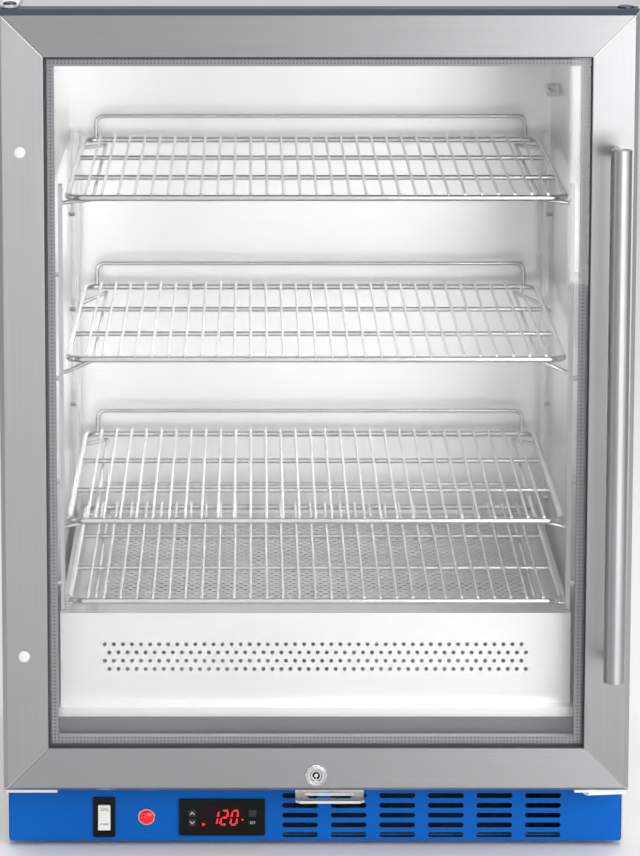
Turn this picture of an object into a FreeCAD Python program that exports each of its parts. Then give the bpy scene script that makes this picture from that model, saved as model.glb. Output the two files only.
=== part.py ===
import FreeCAD, Part
import math
import os

# Blanket warming cabinet, millimetres. +Z is up, the door faces -Y, and +X is to the right of someone
# facing the door. The origin is on the floor at the centre of the bounding box.
os.makedirs("parts", exist_ok=True)
V = FreeCAD.Vector

# ---- Driving dimensions ----
# Door frame: folded sheet, mitred at the corners
door_w = 600.0
door_h = 753.0
door_t = 42.0
door_bottom = 69.0
edge_out = 4.5
edge_back = 8.0
frame_face = 39.0
door_skin = 1.2
glass_return = 6.0
trim_t = 0.4
# Glazing
pane_t = 4.0
pane_gap = 10.0
pane_grip = 10.0
pane_clear = 0.2
spacer_inset = 3.0
spacer_w = 6.5
inner_ledge = 2.5
# Gasket
seal_gap = 6.0
seal_w = 14.0
seal_inset = 16.0
soft_clear = 0.3
# Handle
handle_d = 20.0
handle_len = 506.0
handle_reach = 55.0
handle_inset = 21.0
handle_up = 377.0
post_from_end = 10.0
post_sink = 3.0
post_d = 11.0
plug_d = 11.0
plug_proud = 1.6
# Lock
lock_up = 17.0
lock_d = 19.0
lock_flange_d = 21.0
lock_len = 29.0
plug_core_d = 11.0
cam_len = 38.0
cam_w = 10.0
cam_t = 3.0
cam_side_room = 3.0
flange_t = 2.0
core_proud = 1.0
drive_d = 7.0
run_fit = 0.06
# Door hinge
pin_d = 8.0
pin_edge = 12.0
pin_back = 24.0
pin_len = 14.0
bush_w = 12.0
plate_t = 3.2
plate_w = 49.0
plate_gap = 0.6
plate_setback = 12.0
plate_run = 50.0
strap_w = 16.0
strap_t = 2.5
strap_gap = 1.0
strap_foot = 47.0
strap_foot_back = 8.0
dome_h = 3.0
cap_w = 13.0
leaf_w = 17.0
leaf_t = 2.6
leaf_turn = 7.0
# Strike bracket
strike_drop = 32.5
strike_t = 2.5
strike_left = 19.5
strike_right = 47.0
strike_setback = 14.0
strike_corner = 7.0
strike_bar = 9.0
# Cabinet shell
body_inset = 1.0
lid_drop = 1.0
body_bottom = 6.0
rear_foam = 57.0
side_foam = 46.0
ceiling_foam = 35.0
floor_foam = 45.0
rear_cover_depth = 22.0
rear_cover_inset = 49.0
rear_cover_h = 300.0
rear_cover_up = 14.0
louvre_count = 8
louvre_w = 140.0
louvre_h = 4.0
louvre_pitch = 12.0
louvre_up = 165.0
inlet_w = 27.0
inlet_h = 19.0
inlet_flange = 6.5
inlet_body = 18.0
inlet_wall = 1.5
inlet_from_side = 60.0
inlet_up = 45.0
terminal_w = 80.0
terminal_d = 60.0
terminal_h = 40.0
terminal_inset = 30.0
sheet = 1.2
fold = 20.0
rail_fold = 50.0
frame_drop = 0.4
front_sheet = 1.5
# Liner: the heated space
liner_floor = 140.0
liner_sheet = 1.0
lip_h = 9.0
shelf_rear_room = 19.5
# Kick panel
kick_inset = 2.0
kick_gap = 4.1
kick_fold = 15.0
vent_from_display = 16.8
vent_pitch_x = 47.2
vent_cols = 6
vent_len = 34.6
vent_h = 5.0
vent_z = 11.8
vent_pitch_z = 9.85
vent_rows = 5
# Controls on the kick panel
panel_z = 30.0
switch_from_side = 92.0
switch_w = 21.2
switch_h = 39.8
bezel_t = 2.0
panel_lap = 1.2
switch_body = 24.0
rocker_w = 11.8
rocker_h = 24.0
rocker_tilt = 16.0
rocker_gap = 2.2
rocker_wall = 5.0
rocker_deep = 9.0
lamp_from_switch = 41.0
lamp_d = 17.4
lens_d = 13.4
lamp_body = 12.0
lamp_body_len = 22.0
lamp_ring_t = 1.6
lens_seat = 1.2
lens_proud = 3.0
display_from_switch = 114.6
display_w = 83.2
display_h = 36.2
display_body = 60.0
display_lap = 3.5
display_t = 3.0
window_w = 46.0
window_h = 24.0
key_w = 7.4
key_h = 7.0
key_clear = 0.3
key_travel = 1.2
key_proud = 0.6
key_deep = 4.0
arrow_left = 29.1
set_right = 29.5
upper_key_z = 34.4
lower_key_z = 25.0
# Shelves of welded wire
shelf_1_top = 636.8
shelf_2_top = 480.5
shelf_3_top = 322.3
shelf_4_top = 242.8
shelf_side_room = 12.5
shelf_d = 410.0
shelf_front = 11.5
rim_d = 6.0
rim_r = 14.0
wire_margin = 20.5
cross_d = 5.0
cross_count = 2
wire_d = 2.8
wire_count = 29
weld_gap = 0.05
fence_h = 25.0
fence_d = 4.0
fence_r = 8.0
rod_sides = 6
wire_sides = 4
bend_steps = 2
button_sides = 12
round_sides = 24
# Slotted uprights and bent-wire supports
post_inset = 8.0
upright_t = 4.0
upright_w = 16.0
upright_above = 9.2
upright_gap = 0.5
upright_front = 30.0
slot_pitch = 12.7
slot_first = 4.5
slot_l = 7.0
slot_clear = 0.3
standoff_d = 5.0
standoff_every = 8
support_d = 4.0
support_in = 33.0
support_bend = 4.0
support_drop = 2.4
# Heater
cover_side_gap = 6.0
cover_rear_gap = 1.0
cover_h = 90.0
cover_front = 17.0
cover_sheet = 1.2
element_d = 8.5
element_side_gap = 47.0
element_depth = 250.0
element_r = 16.0
element_up = 38.0
element_lead = 60.0
clip_w = 18.0
clip_t = 8.0
clip_above = 8.0
fan_d = 150.0
fan_hub_d = 44.0
fan_blades = 5
fan_y = 205.0
blade_w = 28.0
blade_t = 1.8
blade_h = 18.0
blade_turn = 28.0
blade_grip = 3.0
fan_gap = 4.0
motor_w = 62.0
motor_h = 36.0
shaft_d = 6.0
probe_d = 6.0
probe_len = 70.0
probe_back = 300.0
probe_below = 86.0
probe_off = 9.0
probe_block = 12.0
# Base
foot_d = 34.0
foot_h = 5.4
foot_sides = 6
stud_d = 10.0
stud_len = 34.0
nut_d = 19.0
nut_h = 10.0
foot_inset_x = 40.0
foot_inset_y = 45.0
kick_to_pan = 2.0

# ---- Levels worked out from them ----
liner_depth = shelf_front + shelf_d + shelf_rear_room
shell_depth = liner_depth + rear_foam
total_depth = handle_reach + handle_d / 2 + door_t + seal_gap + shell_depth + rear_cover_depth
y_door = -total_depth / 2 + handle_reach + handle_d / 2
y_front = y_door + door_t + seal_gap
y_back = y_front + shell_depth
door_top = door_bottom + door_h
body_w = door_w - 2 * body_inset
body_top = door_top - lid_drop
liner_w = body_w - 2 * side_foam
liner_top = body_top - ceiling_foam
foam_pan_z = liner_floor - floor_foam
kick_w = body_w - 2 * kick_inset
kick_top = door_bottom - kick_gap
switch_x = -kick_w / 2 + switch_from_side
lamp_x = switch_x + lamp_from_switch
display_x = switch_x + display_from_switch
arrow_x = display_x - arrow_left
set_x = display_x + set_right
vent_x = display_x + display_w / 2 + vent_from_display
v_pane1 = glass_return + pane_clear
v_spacer = v_pane1 + pane_t
v_pane2 = v_spacer + pane_gap
v_inner = v_pane2 + pane_t + pane_clear
frame_in = edge_out + frame_face
pane_in = frame_in - pane_grip
pin_x = -door_w / 2 + pin_edge
pin_y = y_door + pin_back
lock_z = door_bottom + lock_up
lock_y = y_door + lock_len
handle_x = door_w / 2 - handle_inset
handle_z = door_bottom + handle_up
post_pitch = handle_len - 2 * post_from_end
rod_flat = math.cos(math.pi / rod_sides)
shelf_tops = [shelf_1_top, shelf_2_top, shelf_3_top, shelf_4_top]
shelf_w = liner_w - 2 * shelf_side_room
wire_span = shelf_w - 2 * wire_margin
post_x = liner_w / 2 - post_inset
upright_top = shelf_1_top + upright_above
upright_bottom = liner_floor + cover_h + upright_gap
cover_w = liner_w - 2 * cover_side_gap
element_w = cover_w - 2 * element_side_gap
element_z = liner_floor + element_up


def box(x0, x1, y0, y1, z0, z1):
    return Part.makeBox(x1 - x0, y1 - y0, z1 - z0, V(x0, y0, z0))


def cyl(d, length, x, y, z, direction=V(0, 0, 1)):
    return Part.makeCylinder(d / 2, length, V(x, y, z), direction)


def prism(points, vector):
    wire = Part.makePolygon(points + [points[0]])
    return Part.Face(wire).extrude(vector)


def export(name, *solids):
    shape = solids[0] if len(solids) == 1 else Part.makeCompound(list(solids))
    shape.exportStep("parts/" + name + ".step")


def folded(points, t):
    """Outline of a sheet of thickness t folded along a line of (u, v) points, on their left side."""
    normals = []
    for (a, b), (c, d) in zip(points, points[1:]):
        run = math.hypot(c - a, d - b)
        normals.append(((b - d) / run, (c - a) / run))
    inner = []
    for i, (u, v) in enumerate(points):
        n1 = normals[max(i - 1, 0)]
        n2 = normals[min(i, len(normals) - 1)]
        scale = t / (1 + n1[0] * n2[0] + n1[1] * n2[1])
        inner.append((u + (n1[0] + n2[0]) * scale, v + (n1[1] + n2[1]) * scale))
    return points + inner[::-1]


def ring_bars(profile, width, height, bottom, y0):
    """Four mitred bars of a rectangular frame. The profile is (inward, back) from its outer edge."""
    top = bottom + height
    reach = max(u for u, v in profile) + 1
    mid = width / 2
    corners = [(-mid, bottom, 1, 1), (mid, bottom, -1, 1), (mid, top, -1, -1), (-mid, top, 1, -1)]
    bars = []
    for i, (x, z, sx, sz) in enumerate(corners):
        x2, z2, tx, tz = corners[(i + 1) % 4]
        if i % 2 == 0:
            points = [V(min(x, x2), y0 + v, z + sz * u) for u, v in profile]
            bar = prism(points, V(width, 0, 0))
        else:
            points = [V(x + sx * u, y0 + v, min(z, z2)) for u, v in profile]
            bar = prism(points, V(0, 0, height))
        ends = [V(x, y0 - 1, z), V(x2, y0 - 1, z2)]
        ends += [V(x2 + tx * reach, y0 - 1, z2 + tz * reach), V(x + sx * reach, y0 - 1, z + sz * reach)]
        bars.append(bar.common(prism(ends, V(0, door_t * 2, 0))).Solids[0])
    return bars


def ring_of(d, sides, centre, direction):
    """Outline of round stock with a few flats, square to a direction."""
    turn = FreeCAD.Rotation(V(0, 0, 1), direction)
    angles = [2 * math.pi * (i + 0.5) / sides for i in range(sides)]
    points = [centre + turn.multVec(V(d / 2 * math.cos(a), d / 2 * math.sin(a), 0)) for a in angles]
    return Part.makePolygon(points + [points[0]])


def rod(d, start, end, sides):
    return Part.Face(ring_of(d, sides, start, end - start)).extrude(end - start)


def tube(points, d, r):
    """A bent rod through the points. Each bend of radius r is a few short straight runs."""
    path = [points[0]]
    for a, b, c in zip(points, points[1:], points[2:]):
        into = (b - a).normalize()
        out = (c - b).normalize()
        turn = into.getAngle(out)
        p = b - into * r * math.tan(turn / 2)
        centre = p + (out - into * out.dot(into)).normalize() * r
        axis = into.cross(out)
        for i in range(bend_steps + 1):
            swing = FreeCAD.Rotation(axis, math.degrees(turn) * i / bend_steps)
            path.append(centre + swing.multVec(p - centre))
    path.append(points[-1])
    section = ring_of(d, rod_sides, path[0], path[1] - path[0])
    return Part.makePolygon(path).makePipeShell([section], True, False, 1)


def button(d, h, base, out):
    """A many-sided button's head that rises from its base, with its rim chamfered."""
    head = rod(d, base, base + out * h, button_sides)
    top = base + out * h
    rim = [e for e in head.Edges if abs((e.CenterOfMass - top).dot(out)) < run_fit]
    return head.makeChamfer(h / 2, rim)


# ---- Door ----
def door_frame():
    face = [(0, door_t - glass_return), (0, edge_back), (edge_out, 0), (frame_in, 0), (frame_in, glass_return)]
    skin = folded(face, door_skin)
    bottom, right, top, left = ring_bars(skin, door_w, door_h, door_bottom, y_door)
    bottom = bottom.cut(cyl(lock_d + 2 * pane_clear, door_t, 0, y_door - 1, lock_z, V(0, 1, 0)))
    bottom = bottom.cut(cam_pocket())
    bush_holes = [bush_pocket(sign, z) for sign in [-1, 1] for z in [door_bottom, door_top - pin_len]]
    export("door_rail_bottom", bottom.cut(bush_holes[0]))
    export("door_rail_top", top.cut([bush_holes[1], bush_holes[3]]))
    export("door_stile_left", left.cut(plug_pockets()))
    export("door_stile_right", right)


def cam_pocket():
    """The space inside the bottom rail that the lock's cam turns in, open at the bottom."""
    side = cam_w / 2 + cam_side_room
    behind = lock_y + cam_t + cam_side_room
    front = lock_y - cam_side_room / 3
    return box(-side, cam_len + cam_side_room, front, behind, door_bottom - 1, lock_z + side)


def bush_pocket(sign, z):
    """A square hole for a hinge bush, on the left or the right, with its lower end at z."""
    half = bush_w / 2
    x = sign * -pin_x
    return box(x - half, x + half, pin_y - half, pin_y + half, z, z + pin_len)


def plug_pockets():
    """Square holes for the stems of the two plugs, where a handle would sit on a door hung the other way."""
    half = plug_d / 4 + pane_clear
    pockets = []
    for end in [-1, 1]:
        z = handle_z + end * post_pitch / 2
        x0 = -handle_x - half
        pockets.append(box(x0, x0 + 2 * half, y_door - 1, y_door + door_t / 2, z - half, z + half))
    return pockets


def inner_frame():
    seat = pane_in - 3 * pane_clear
    inner = frame_in + inner_ledge
    body = [(edge_out + 2, door_skin), (seat, door_skin), (seat, v_inner), (inner, v_inner), (inner, door_t),
            (door_skin, door_t), (door_skin, edge_back + 2)]
    bars = ring_bars(body, door_w, door_h, door_bottom, y_door)
    side = lock_d / 2 + pane_clear
    lock_hole = box(-side, side, y_door, lock_y + 1, lock_z - side, lock_z + side)
    holes = [bush_pocket(sign, z) for sign in [-1, 1] for z in [door_bottom, door_top - pin_len]]
    holes += plug_pockets() + [lock_hole, cam_pocket()]
    export("door_inner_frame", *[bar.cut(holes) for bar in bars])


def glazing():
    x = door_w / 2 - pane_in
    z0 = door_bottom + pane_in
    z1 = door_top - pane_in
    for name, v in [("glass_outer", v_pane1), ("glass_inner", v_pane2)]:
        export(name, box(-x, x, y_door + v, y_door + v + pane_t, z0, z1))
    inset = frame_in + spacer_inset
    bar = [(0, 0), (spacer_w, 0), (spacer_w, pane_gap), (0, pane_gap)]
    bars = ring_bars(bar, door_w - 2 * inset, door_h - 2 * inset, door_bottom + inset, y_door + v_spacer)
    export("glass_spacer", *bars)
    depth = seal_gap - soft_clear
    lobe = [(0, 0), (seal_w, 0), (seal_w, depth / 2), (seal_w * 0.7, depth), (seal_w * 0.3, depth)]
    lobe.append((0, depth / 2))
    width = door_w - 2 * seal_inset
    bars = ring_bars(lobe, width, door_h - 2 * seal_inset, door_bottom + seal_inset, y_door + door_t)
    export("door_gasket", *bars)


def top_trim():
    """Formed strip that covers the door frame's top edge, clear of the two hinge holes."""
    strip = folded([(0, -edge_out), (edge_back, 0), (door_t - glass_return, 0)], trim_t)
    points = [V(-door_w / 2, y_door + v, door_top + u) for v, u in strip]
    bar = prism(points, V(door_w, 0, 0))
    for side in [-1, 1]:
        x = side * (door_w / 2 - trim_t / 2)
        out = x + side * edge_out
        wedge = [(x, edge_back), (x - side * (edge_out + trim_t), -trim_t), (out, -trim_t), (out, edge_back)]
        wedge = [V(x, y_door + v, door_top - edge_out * 2) for x, v in wedge]
        bar = bar.cut(prism(wedge, V(0, 0, edge_out * 4)))
        x = side * pin_x
        bar = bar.cut(rod(cap_w + 1, V(x, pin_y, door_top - 1), V(x, pin_y, door_top + 1), button_sides))
    export("door_top_trim", bar.Solids[0])


def handle():
    y = y_door - handle_reach
    y_post = y + handle_d / 2 - post_sink
    bar = cyl(handle_d, handle_len, handle_x, y, handle_z - handle_len / 2)
    posts = []
    plugs = []
    for end in [-1, 1]:
        z = handle_z + end * post_pitch / 2
        bar = bar.cut(cyl(post_d, handle_d, handle_x, y_post, z, V(0, 1, 0)))
        posts.append(cyl(post_d, y_door - y_post, handle_x, y_post, z, V(0, 1, 0)))
        side = plug_d / 4
        stem = box(-handle_x - side, -handle_x + side, y_door, y_door + door_t / 3, z - side, z + side)
        head = button(plug_d, plug_proud, V(-handle_x, y_door, z), V(0, -1, 0))
        plugs.append(head.fuse(stem).removeSplitter())
    export("handle_bar", bar)
    export("handle_posts", *posts)
    export("handle_hole_plugs", *plugs)


def lock():
    face = V(0, y_door, lock_z)
    barrel = rod(lock_flange_d, face - V(0, flange_t, 0), face, round_sides)
    barrel = barrel.fuse(rod(lock_d, face, face + V(0, lock_len - weld_gap, 0), round_sides))
    bore = cyl(plug_core_d + 2 * run_fit, 2 * lock_len, 0, y_door - flange_t - 1, lock_z, V(0, 1, 0))
    export("lock_barrel", barrel.cut(bore).removeSplitter())
    core = rod(plug_core_d, face - V(0, core_proud, 0), face + V(0, lock_len, 0), round_sides)
    half = drive_d / 2
    drive = box(-half, half, lock_y, lock_y + cam_t + 1, lock_z - half, lock_z + half)
    cam = box(-cam_w / 2, cam_len - 1, lock_y, lock_y + cam_t, lock_z - cam_w / 2, lock_z + cam_w / 2)
    corners = [e for e in cam.Edges if e.Length < cam_t + weld_gap and e.BoundBox.YLength > weld_gap]
    cam = cam.makeChamfer(cam_w / 4, corners)
    export("lock_plug_and_cam", core.fuse(drive).removeSplitter(), cam.cut(drive))


def hinges():
    z_plate = door_bottom - plate_gap - plate_t
    x0 = -body_w / 2 + sheet
    y0 = y_door + plate_setback
    plate = box(x0, x0 + plate_w, y0, y_front + plate_run, z_plate, z_plate + plate_t)
    plate = plate.fuse(cyl(pin_d, plate_t + plate_gap + pin_len - 1, pin_x, pin_y, z_plate)).removeSplitter()
    export("hinge_bracket_lower", plate)
    left = pin_x - strap_w / 2
    z_strap = door_top + strap_gap
    y1 = y_front + strap_foot_back + strap_foot
    strap = box(left, left + strap_w, pin_y - strap_w / 2, y1, z_strap, z_strap + strap_t)
    front = [e for e in strap.Edges if e.BoundBox.ZLength > 1 and e.BoundBox.YMax < pin_y]
    strap = strap.makeChamfer(strap_w / 4, front)
    foot = box(left, left + strap_w, y_front + strap_foot_back, y1, body_top, z_strap + 1)
    strap = strap.fuse(foot)
    strap = strap.fuse(cyl(pin_d, pin_len + strap_gap - 1 + strap_t / 2, pin_x, pin_y, door_top + 1 - pin_len))
    export("hinge_bracket_upper", strap.removeSplitter())
    bushes = []
    for z in [door_bottom, door_top - pin_len]:
        bore = cyl(pin_d + 2 * run_fit, pin_len + 2, pin_x, pin_y, z - 1)
        bushes.append(bush_pocket(-1, z).cut(bore))
    export("hinge_bushes", *bushes)
    export("hinge_pin_cap", button(cap_w, dome_h, V(pin_x, pin_y, z_strap + strap_t), V(0, 0, 1)))
    side = bush_w / 2 - pane_clear
    stem = box(-pin_x - side, -pin_x + side, pin_y - side, pin_y + side, door_top - pin_len + 1, door_top)
    neck = rod(cap_w, V(-pin_x, pin_y, door_top), V(-pin_x, pin_y, door_top + trim_t), button_sides)
    head = button(strap_w, dome_h, V(-pin_x, pin_y, door_top + trim_t), V(0, 0, 1))
    export("hinge_hole_plug", stem.fuse(neck).fuse(head).removeSplitter())
    x1 = -x0 - plate_w
    right = box(x1, -x0, y0, y_front + plate_run, z_plate, z_plate + plate_t)
    half = leaf_w / 2
    pivot = V(x1 + leaf_w, y0 + half, z_plate - leaf_t)
    leaf = box(x1 + half, -x0 - 1, pivot.y - half, pivot.y + half, pivot.z, pivot.z + leaf_t)
    ends = [e for e in leaf.Edges if e.BoundBox.ZLength > 1 and e.BoundBox.XMax < pivot.x]
    leaf = leaf.makeChamfer(leaf_w / 4, ends)
    leaf.rotate(pivot, V(0, 0, 1), leaf_turn)
    export("corner_plate_right", right, leaf)


def strike():
    """Plate that stands out under the door's bottom rail, with a slot for the lock's cam."""
    z = lock_z - strike_drop
    y0 = y_door + strike_setback
    plate = box(-strike_left, strike_right, y0, y_front, z, z + strike_t)
    corners = [e for e in plate.Edges if e.BoundBox.YMax < y0 + weld_gap and e.BoundBox.ZLength > 1]
    plate = plate.makeChamfer(strike_corner * 0.6, corners)
    x0 = -strike_left + 1.5 * strike_bar
    x1 = strike_right - 1.5 * strike_bar
    y1 = y_front - strike_bar + 1
    hole = [V(x0, y0 + strike_bar, z - 1), V(x1, y0 + strike_bar, z - 1)]
    hole += [V(x1 + strike_bar * 0.6, y1, z - 1), V(x0 - strike_bar * 0.6, y1, z - 1)]
    plate = plate.cut(prism(hole, V(0, 0, 2 * strike_t)))
    leg = box(-strike_left, strike_right, y_front - 2, y_front, z, kick_top - weld_gap)
    export("strike_bracket", plate.fuse(leg).removeSplitter())


# ---- Cabinet ----
def shell():
    half = body_w / 2
    y0 = y_front + front_sheet
    side = folded([(half - fold, y0), (half, y0), (half, y_back), (half - fold, y_back)], sheet)
    for name, sign in [("side_panel_right", 1), ("side_panel_left", -1)]:
        panel = prism([V(sign * x, y, body_bottom) for x, y in side], V(0, 0, body_top - sheet - body_bottom))
        x0, x1 = sorted([sign * (half - fold - 1), sign * (half - sheet)])
        panel = panel.cut(box(x0, x1, y0 - 1, y0 + sheet + 1, body_bottom - 1, door_bottom - plate_gap))
        export(name, panel)
    lid = box(-half, half, y_front, y_back, body_top - sheet, body_top)
    for y in [y0 + sheet, y_back - 2 * sheet]:
        lid = lid.fuse(box(-half + fold, half - fold, y, y + sheet, body_top - fold, body_top - sheet))
    export("top_panel", lid.removeSplitter())
    x_in = half - sheet
    back_y = y_back - sheet
    export("back_panel", box(-half + fold, half - fold, back_y, y_back, body_bottom, body_top - sheet))
    bars = []
    for sign in [-1, 1]:
        x0, x1 = sorted([sign * half, sign * (liner_w / 2 + 1)])
        bars.append(box(x0, x1, y_front, y0, door_bottom - frame_drop, body_top - sheet))
    x1 = liner_w / 2 + 1
    bars.append(box(-x1, x1, y_front, y0, door_bottom - frame_drop, liner_floor - lip_h))
    bars.append(box(-x1, x1, y_front, y0, liner_top, body_top - sheet))
    export("front_frame", *bars)
    pan_z = foam_pan_z - sheet
    rail = folded([(y0 + sheet, pan_z), (y0 + sheet, door_bottom), (y0 + rail_fold, door_bottom)], sheet)
    points = [V(-x_in, y, z) for y, z in rail]
    foam_pan = box(-x_in, x_in, y0 + sheet, y_back - sheet, pan_z, foam_pan_z)
    export("base_rail_and_foam_pan", prism(points, V(2 * x_in, 0, 0)), foam_pan)


def insulated_box():
    half = body_w / 2 - sheet
    w = liner_w / 2
    y0 = y_front + front_sheet
    y1 = y_front + liner_depth
    s = liner_sheet
    floor = box(-w, w, y0, y1, liner_floor - s, liner_floor)
    floor = floor.fuse(box(-w, w, y0, y0 + s, liner_floor - lip_h, liner_floor - s)).removeSplitter()
    walls = [box(-w - s, -w, y0, y1, liner_floor, liner_top), box(w, w + s, y0, y1, liner_floor, liner_top)]
    ceiling = box(-w, w, y0, y1, liner_top, liner_top + s)
    back = box(-w - s, w + s, y1, y1 + s, liner_floor - s, liner_top + s)
    export("liner", floor, back, ceiling, *walls)
    f0 = y0 + 3 * sheet
    f1 = y_back - 3 * sheet
    top = body_top - sheet
    foam = [box(-half, half, f0, f1, foam_pan_z, liner_floor - lip_h - s)]
    z0 = liner_floor - lip_h - s
    foam.append(box(-half, -w - s, f0, f1, z0, top))
    foam.append(box(w + s, half, f0, f1, z0, top))
    foam.append(box(-w - s, w + s, y1 + s, f1, z0, top))
    foam.append(box(-w - s, w + s, f0, y1 + s, liner_top + s, top))
    export("insulation", *foam)


def rear_parts():
    x = body_w / 2 - rear_cover_inset
    z0 = body_bottom + rear_cover_up
    z1 = z0 + rear_cover_h
    y1 = y_back + rear_cover_depth
    cover = box(-x, x, y_back, y1, z0, z1)
    cover = cover.cut(box(-x + sheet, x - sheet, y_back, y1 - sheet, z0 + sheet, z1 - sheet))
    for i in range(louvre_count):
        z = z0 + louvre_up + i * louvre_pitch
        cover = cover.cut(box(-louvre_w / 2, louvre_w / 2, y1 - 2 * sheet, y1 + 1, z, z + louvre_h))
    inlet_x = x - inlet_from_side
    inlet_z = z0 + inlet_up

    def inlet_block(grow, y_from, y_to):
        w = inlet_w / 2 + grow
        h = inlet_h / 2 + grow
        return box(inlet_x - w, inlet_x + w, y_from, y_to, inlet_z - h, inlet_z + h)

    export("rear_cover", cover.cut(inlet_block(soft_clear, y1 - 2 * sheet, y1 + 1)))
    y_in = y1 - sheet
    inlet = inlet_block(inlet_flange, y_in - 2, y_in)
    inlet = inlet.fuse(inlet_block(0, y_in - inlet_body, y1 - soft_clear))
    inlet = inlet.cut(inlet_block(-inlet_wall, y_in - inlet_body + 2 * inlet_wall, y1))
    export("power_inlet", inlet.removeSplitter())
    x0 = -x + terminal_inset
    y2 = y_back - terminal_inset
    z2 = body_bottom + sheet
    export("terminal_box", box(x0, x0 + terminal_w, y2 - terminal_d, y2, z2, z2 + terminal_h))


def base():
    half = body_w / 2 - sheet
    y0 = y_front + kick_fold + kick_to_pan
    y1 = y_back - sheet
    pan = box(-half, half, y0, y1, body_bottom, body_bottom + fold)
    pan = pan.cut(box(-half + sheet, half - sheet, y0 - 1, y1 - sheet, body_bottom + sheet, body_bottom + fold))
    places = {"front_left": (-1, y0 + foot_inset_y), "front_right": (1, y0 + foot_inset_y),
              "rear_left": (-1, y1 - foot_inset_y), "rear_right": (1, y1 - foot_inset_y)}
    for name, (sign, y) in places.items():
        x = sign * (half - foot_inset_x)
        z = body_bottom + sheet
        pan = pan.fuse(rod(nut_d, V(x, y, z), V(x, y, z + nut_h), foot_sides))
        pan = pan.cut(cyl(stud_d + 2 * run_fit, nut_h + 2 * sheet, x, y, body_bottom - sheet / 2))
        foot = rod(foot_d, V(x, y, 0), V(x, y, foot_h), foot_sides)
        stud = rod(stud_d, V(x, y, foot_h), V(x, y, stud_len), button_sides)
        export("foot_" + name, foot.fuse(stud).removeSplitter())
    export("base_pan", pan)


def kick():
    half = kick_w / 2
    y1 = y_front + kick_fold
    panel = box(-half, half, y_front, y1, body_bottom, kick_top)
    inside = box(-half + sheet, half - sheet, y_front + sheet, y1, body_bottom + sheet, kick_top - sheet)
    panel = panel.cut(inside)
    y = y_front - 1
    half_h = vent_h / 2
    side = half_h * math.tan(math.pi / 8)
    slots = []
    for col in range(vent_cols):
        for row in range(vent_rows):
            x0 = vent_x + col * vent_pitch_x
            x1 = x0 + vent_len
            z = vent_z + row * vent_pitch_z
            nose = half_h - side
            outline = [(x0, z - side), (x0 + nose, z - half_h), (x1 - nose, z - half_h), (x1, z - side)]
            outline += [(x1, z + side), (x1 - nose, z + half_h), (x0 + nose, z + half_h), (x0, z + side)]
            slots.append(prism([V(u, y, v) for u, v in outline], V(0, 2 * sheet, 0)))
    w = switch_w / 2 - panel_lap
    h = switch_h / 2 - panel_lap
    slots.append(box(switch_x - w, switch_x + w, y, y + 2 * sheet, panel_z - h, panel_z + h))
    side = lamp_body / 2 + pane_clear
    slots.append(box(lamp_x - side, lamp_x + side, y, y + 2 * sheet, panel_z - side, panel_z + side))
    w = display_w / 2 - display_lap + pane_clear
    h = display_h / 2 - display_lap + pane_clear
    slots.append(box(display_x - w, display_x + w, y, y + 2 * sheet, panel_z - h, panel_z + h))
    export("kick_panel", panel.cut(slots))


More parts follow.
